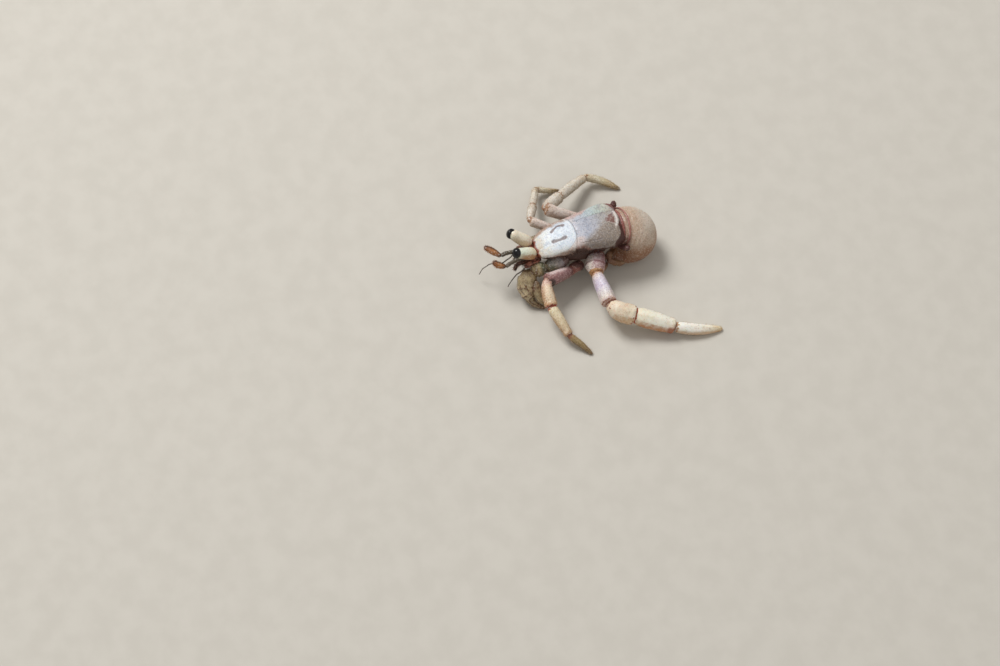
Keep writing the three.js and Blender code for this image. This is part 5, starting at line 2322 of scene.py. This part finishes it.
# The wall's dark browns are painted shade of the zone under the plates, over its own red-brown at the front.
WALL_FINISH = FleshFinish(
    name="body_wall",
    slot="underside",
    colours="7c3422 6e3626 45281e 40261c 4a2e24",
    layers=(("low", "3e241c", 0.7),),
    cloud="3a221c",
    pale="8a6a5a",
)
# The thorax's dark browns are painted shade of the zone under the carapace; the pale 'under' layer is its own
# underside colour.
THORAX_FINISH = ShellFinish(
    name="thorax",
    slot="underside",
    colours="45281e 4a2c20 4e3026",
    layers=(("under", "a08474", 0.6),),
    cloud="3a2018",
    pale="7a5a4a",
)
ABDOMEN_FINISH = FleshFinish(
    name="abdomen_skin",
    slot="flesh",
    colours="9c7464 bea590 c3b09e c4b19e c0ac98 baa48f b09682 9c7c66",
    # 'low' is painted shade, 'high' a painted highlight and 'rim' partly painted shade.
    layers=(
        ("rim", "8e5a34", 0.9),
        ("low", "84543a", 0.85),
        ("high", "d2c8bb", 0.75),
        ("waist", "74403a", 0.85),
    ),
    cloud="a0836c",
    cloud_share=0.35,
    cloud_size=1.2,
    specks="84664e",
    speck_share=0.4,
    pale="e4dacd",
)
BAND_FINISH = ShellFinish(
    name="abdomen_bands",
    slot="bands",
    colours="6e3834 84483f 8a5046 84483f 6e3834",
    layers=(("sides", "5a2c24", 0.8),),
    inks=(("top_end", "5e2426", 0.85),),
    cloud="a87468",
    cloud_share=0.3,
    cloud_size=0.4,
    specks="5c2a26",
    pale="c8a89c",
)
THIN_BAND_FINISH = replace(BAND_FINISH, name="abdomen_thin_band", colours="9c665c a87468 9c6459", inks=())
TAIL_FINISH = replace(
    BAND_FINISH,
    name="tail_fan",
    colours="7e5a42 94704e 8a6448",
    layers=(("under", "6e4a3c", 0.6),),
    cloud="7a5a44",
)
HIND_LEG_FINISH = ShellFinish(
    name="hind_legs",
    slot="legs",
    colours="4e2a24 5a302a 542a26 462220",
    layers=(("under", "3a1e1a", 0.6), ("crest", "744840", 0.15)),
    cloud="46221e",
    pale="94706a",
)
SMALL_LEG_FINISH = replace(
    HIND_LEG_FINISH,
    name="small_legs",
    colours="6a4030 7a5640 86603f 6e4a34",
    layers=(("under", "54341f", 0.6), ("crest", "9c7c58", 0.4)),
    cloud="6a4632",
    pale="b89c7c",
)
STALK_LEFT_FINISH = ShellFinish(
    name="eye_stalk_left",
    slot="eye_stalks",
    colours="c8b08a d8ccac dcd6bc dcdec8 d6dac0 cdc8a8",
    # The 'under' layer is painted shade and the 'crest' layer a painted highlight.
    layers=(("under", "b0743c", 0.9), ("crest", "e2ecdc", 0.7)),
    inks=(("foot", "4a241a", 0.95),),
    cloud="cdb88c",
    cloud_share=0.25,
    specks="a08058",
    speck_share=0.25,
    coat=0.25,
    roughness=0.38,
)
STALK_RIGHT_FINISH = replace(
    STALK_LEFT_FINISH,
    name="eye_stalk_right",
    colours="d0aa90 e4d6c0 ece2cc ece4d0 e8dfc8 e2dac4",
    # Painted shade on the lower side.
    layers=(("under", "bf9c74", 0.6),),
    inks=(("foot", "74402e", 0.9),),
)
SCALE_FINISH = replace(
    STALK_LEFT_FINISH,
    name="eye_scales",
    slot="head_parts",
    colours="b0a090 dcd8cc d0c8b8",
    layers=(),
    inks=(("under", "3e221a", 0.95),),
)
CORNEA_FINISH = CorneaFinish(name="corneas", slot="eyes")
HEAD_FINISH = ShellFinish(
    name="head_parts",
    slot="head_parts",
    colours="6e2e20 86402c 8c4c34 6e3224",
    layers=(("under", "5a2a1e", 0.6), ("spots", "341812", 0.75)),
    cloud="a86444",
    cloud_share=0.4,
    cloud_size=0.35,
    specks="3e1a14",
    speck_share=0.5,
    pale="c8907c",
    glow=0.04,
)
BASE_FINISH = replace(
    HEAD_FINISH,
    name="antenna_bases",
    colours="90432f a86450 a86c58 6e3a2c",
    layers=(("under", "6a3628", 0.6), ("spots", "42201a", 0.7)),
)
MOUTH_FINISH = replace(
    HEAD_FINISH,
    name="mouth_limbs",
    colours="7a3c2c 7c4632 54301e 38201a 241612",
    layers=(("under", "4a2a20", 0.6),),
)
LASH_FINISH = ShellFinish(
    name="feelers",
    slot="feelers",
    colours="4a3a28 3a2e20 2e241a",
    cloud="5a4a34",
    cloud_size=0.3,
    glow=0.05,
)
ANTENNULE_FINISH = replace(
    LASH_FINISH,
    name="antennule_stalks",
    colours="483a2c 4a4032 443c2e 3a3024",
    layers=(("crest", "665c4a", 0.5),),
)
CLUB_FINISH = replace(
    LASH_FINISH,
    name="antennule_clubs",
    colours="4a2c18 905a2c a86a2c a86a2c 945624 4a2814",
    layers=(("under", "6a3a1e", 0.6),),
    inks=(("right_side", "2c1a10", 0.9),),
    cloud="8a5426",
    glow=0.0,
)
FINE_HAIR = BristleFinish(name="fine_hair", slot="flesh", root="b8987c", tip="ecdcc8")
BODY_HAIR = BristleFinish(name="body_hair", slot="carapace", root="7a4e3c", tip="c9a488")
CLUB_HAIR = BristleFinish(name="club_hair", slot="feelers", root="5a3420", tip="c07c40")
HEAD_HAIR = BristleFinish(name="head_hair", slot="head_parts", root="4c2c1a", tip="a87a4c")

# ---------------------------------------------------------------- the crab's sub-assemblies

LEG_PARTS = ("ischium", "merus", "carpus", "propodus", "dactyl")
LEG_RELIEFS = {
    "ischium": Relief(rim=0.0, hollow=0.0, uneven=0.05, crease=0.05, taper=0.3, softer=26),
    "merus": Relief(rim=0.03, ridge=0.04, hollow=0.04, uneven=0.03),
    "carpus": Relief(rim=0.03, ridge=0.03, uneven=0.03),
    "propodus": Relief(ridge=0.03, hollow=0.02),
    "dactyl": Relief(ridge=0.02, hollow=0.03, grain=0.008),
}
LEG_HAIRS = {
    "ischium": Hairs(count=25, length=0.2),
    "merus": Hairs(count=60, length=0.22),
    "carpus": Hairs(count=55, length=0.24),
    "propodus": Hairs(count=110, length=0.28),
    "dactyl": Hairs(count=170, length=0.3, fringe=0.2),
}
CLAW_PARTS = ("merus", "carpus", "palm", "dactyl")
CLAW_RELIEF = Relief(rim=0.04, ridge=0.03, grain=0.022, grain_size=0.26, uneven=0.04)
CLAW_HAIRS = Hairs(count=260, length=0.3, fringe=0.1, width=0.013)


def walking_leg(name: str, finishes: dict[str, ShellFinish], skin: str) -> Limb:
    """A walking leg.

    Args:
        name: Its name, which its nodes' names start with.
        finishes: The finish of each piece.
        skin: The colours of its joints' skin, from the body out.

    Returns:
        The leg.
    """
    pieces = tuple(
        LimbPiece(
            node=f"{name}_{part}",
            finish=finishes[part],
            relief=LEG_RELIEFS[part],
            hairs=LEG_HAIRS[part],
            soft_end=part != "dactyl",
        )
        for part in LEG_PARTS
    )
    return Limb(name, "thorax", pieces, replace(JOINT_SKIN, name=name + "_skin", colours=skin), LEG_HAIR)


def claw(name: str, finishes: dict[str, ShellFinish]) -> Limb:
    """A clawed leg.

    Args:
        name: Its name, which its nodes' names start with.
        finishes: The finish of each piece.

    Returns:
        The clawed leg.
    """
    pieces = tuple(
        LimbPiece(
            node=f"{name}_{part}",
            finish=finishes[part],
            relief=CLAW_RELIEF,
            hairs=CLAW_HAIRS,
            soft_end=part in ("merus", "carpus"),
        )
        for part in CLAW_PARTS
    )
    skin = replace(JOINT_SKIN, name=name + "_skin", slot="claws", colours=SKIN_CLAW)
    return Limb(name, "thorax", pieces, skin, CLAW_HAIR)


def sub_assemblies() -> list[object]:
    """All the crab's sub-assemblies, in building order."""
    plates = {
        Plate.SHIELD: SHIELD_FINISH,
        Plate.HEART: HEART_FINISH,
        Plate.GILL_LEFT: GILL_LEFT_FINISH,
        Plate.GILL_RIGHT: GILL_RIGHT_FINISH,
    }
    made: list[object] = [
        Carapace(plates, WALL_FINISH, BODY_HAIR),
        Thorax(THORAX_FINISH),
        Abdomen(ABDOMEN_FINISH, {"tergite_1": BAND_FINISH, "tergite_2": THIN_BAND_FINISH}, FINE_HAIR),
        walking_leg("leg_3_left", LEG_3_LEFT, SKIN_LEG_3_LEFT),
        walking_leg("leg_3_right", LEG_RIGHT, SKIN_LEG_RIGHT),
        walking_leg("leg_2_left", LEG_2_LEFT, SKIN_LEG_2_LEFT),
        walking_leg("leg_2_right", LEG_RIGHT, SKIN_LEG_RIGHT),
        claw("claw_left", CLAW_LEFT),
        claw("claw_right", CLAW_RIGHT),
        HeadPart("eye_segment", "thorax", HEAD_FINISH, HEAD_HAIR, hair_count=30, hair_length=0.2),
        Eye("left", STALK_LEFT_FINISH, CORNEA_FINISH, SCALE_FINISH),
        Eye(
            "right",
            STALK_RIGHT_FINISH,
            CORNEA_FINISH,
            SCALE_FINISH,
            notch=0.42,
            notch_reach=0.95,
            notch_width=0.45,
            stalk_reach=0.92,
        ),
    ]
    for hand in ("left", "right"):
        base = f"antenna_base_{hand}"
        stalk, club = f"antennule_stalk_{hand}", f"antennule_club_{hand}"
        made += [
            HeadPart(base, "thorax", BASE_FINISH, HEAD_HAIR, 60, 0.25, rings=0.75),
            HeadPart(f"mouth_limb_{hand}", "thorax", MOUTH_FINISH, HEAD_HAIR, 180, 0.3, rings=0.9),
            HeadPart(stalk, "eye_segment", ANTENNULE_FINISH, HEAD_HAIR, 30, 0.14, rings=1.3, regain=0.06),
            HeadPart(club, stalk, CLUB_FINISH, CLUB_HAIR, 260, 0.2, regain=0.06),
            Feeler(f"antenna_{hand}", base, LASH_FINISH),
            HeadPart(f"leg_4_{hand}", "thorax", SMALL_LEG_FINISH, LEG_HAIR, 90, 0.2, rings=1.1),
            HeadPart(f"leg_5_{hand}", "thorax", HIND_LEG_FINISH, LEG_HAIR, 70, 0.16, rings=1.1),
            HeadPart(f"uropod_{hand}", "telson", TAIL_FINISH, LEG_HAIR, 60, 0.18),
        ]
    made.append(HeadPart("telson", "abdomen_rear", TAIL_FINISH, LEG_HAIR, 60, 0.18))
    made.append(Studio())
    return made


def main() -> None:
    """Builds every sub-assembly."""
    logging.basicConfig(level=logging.INFO, format="%(name)s %(message)s")
    for part in sub_assemblies():
        part.build()


if __name__ == "__main__":
    main()
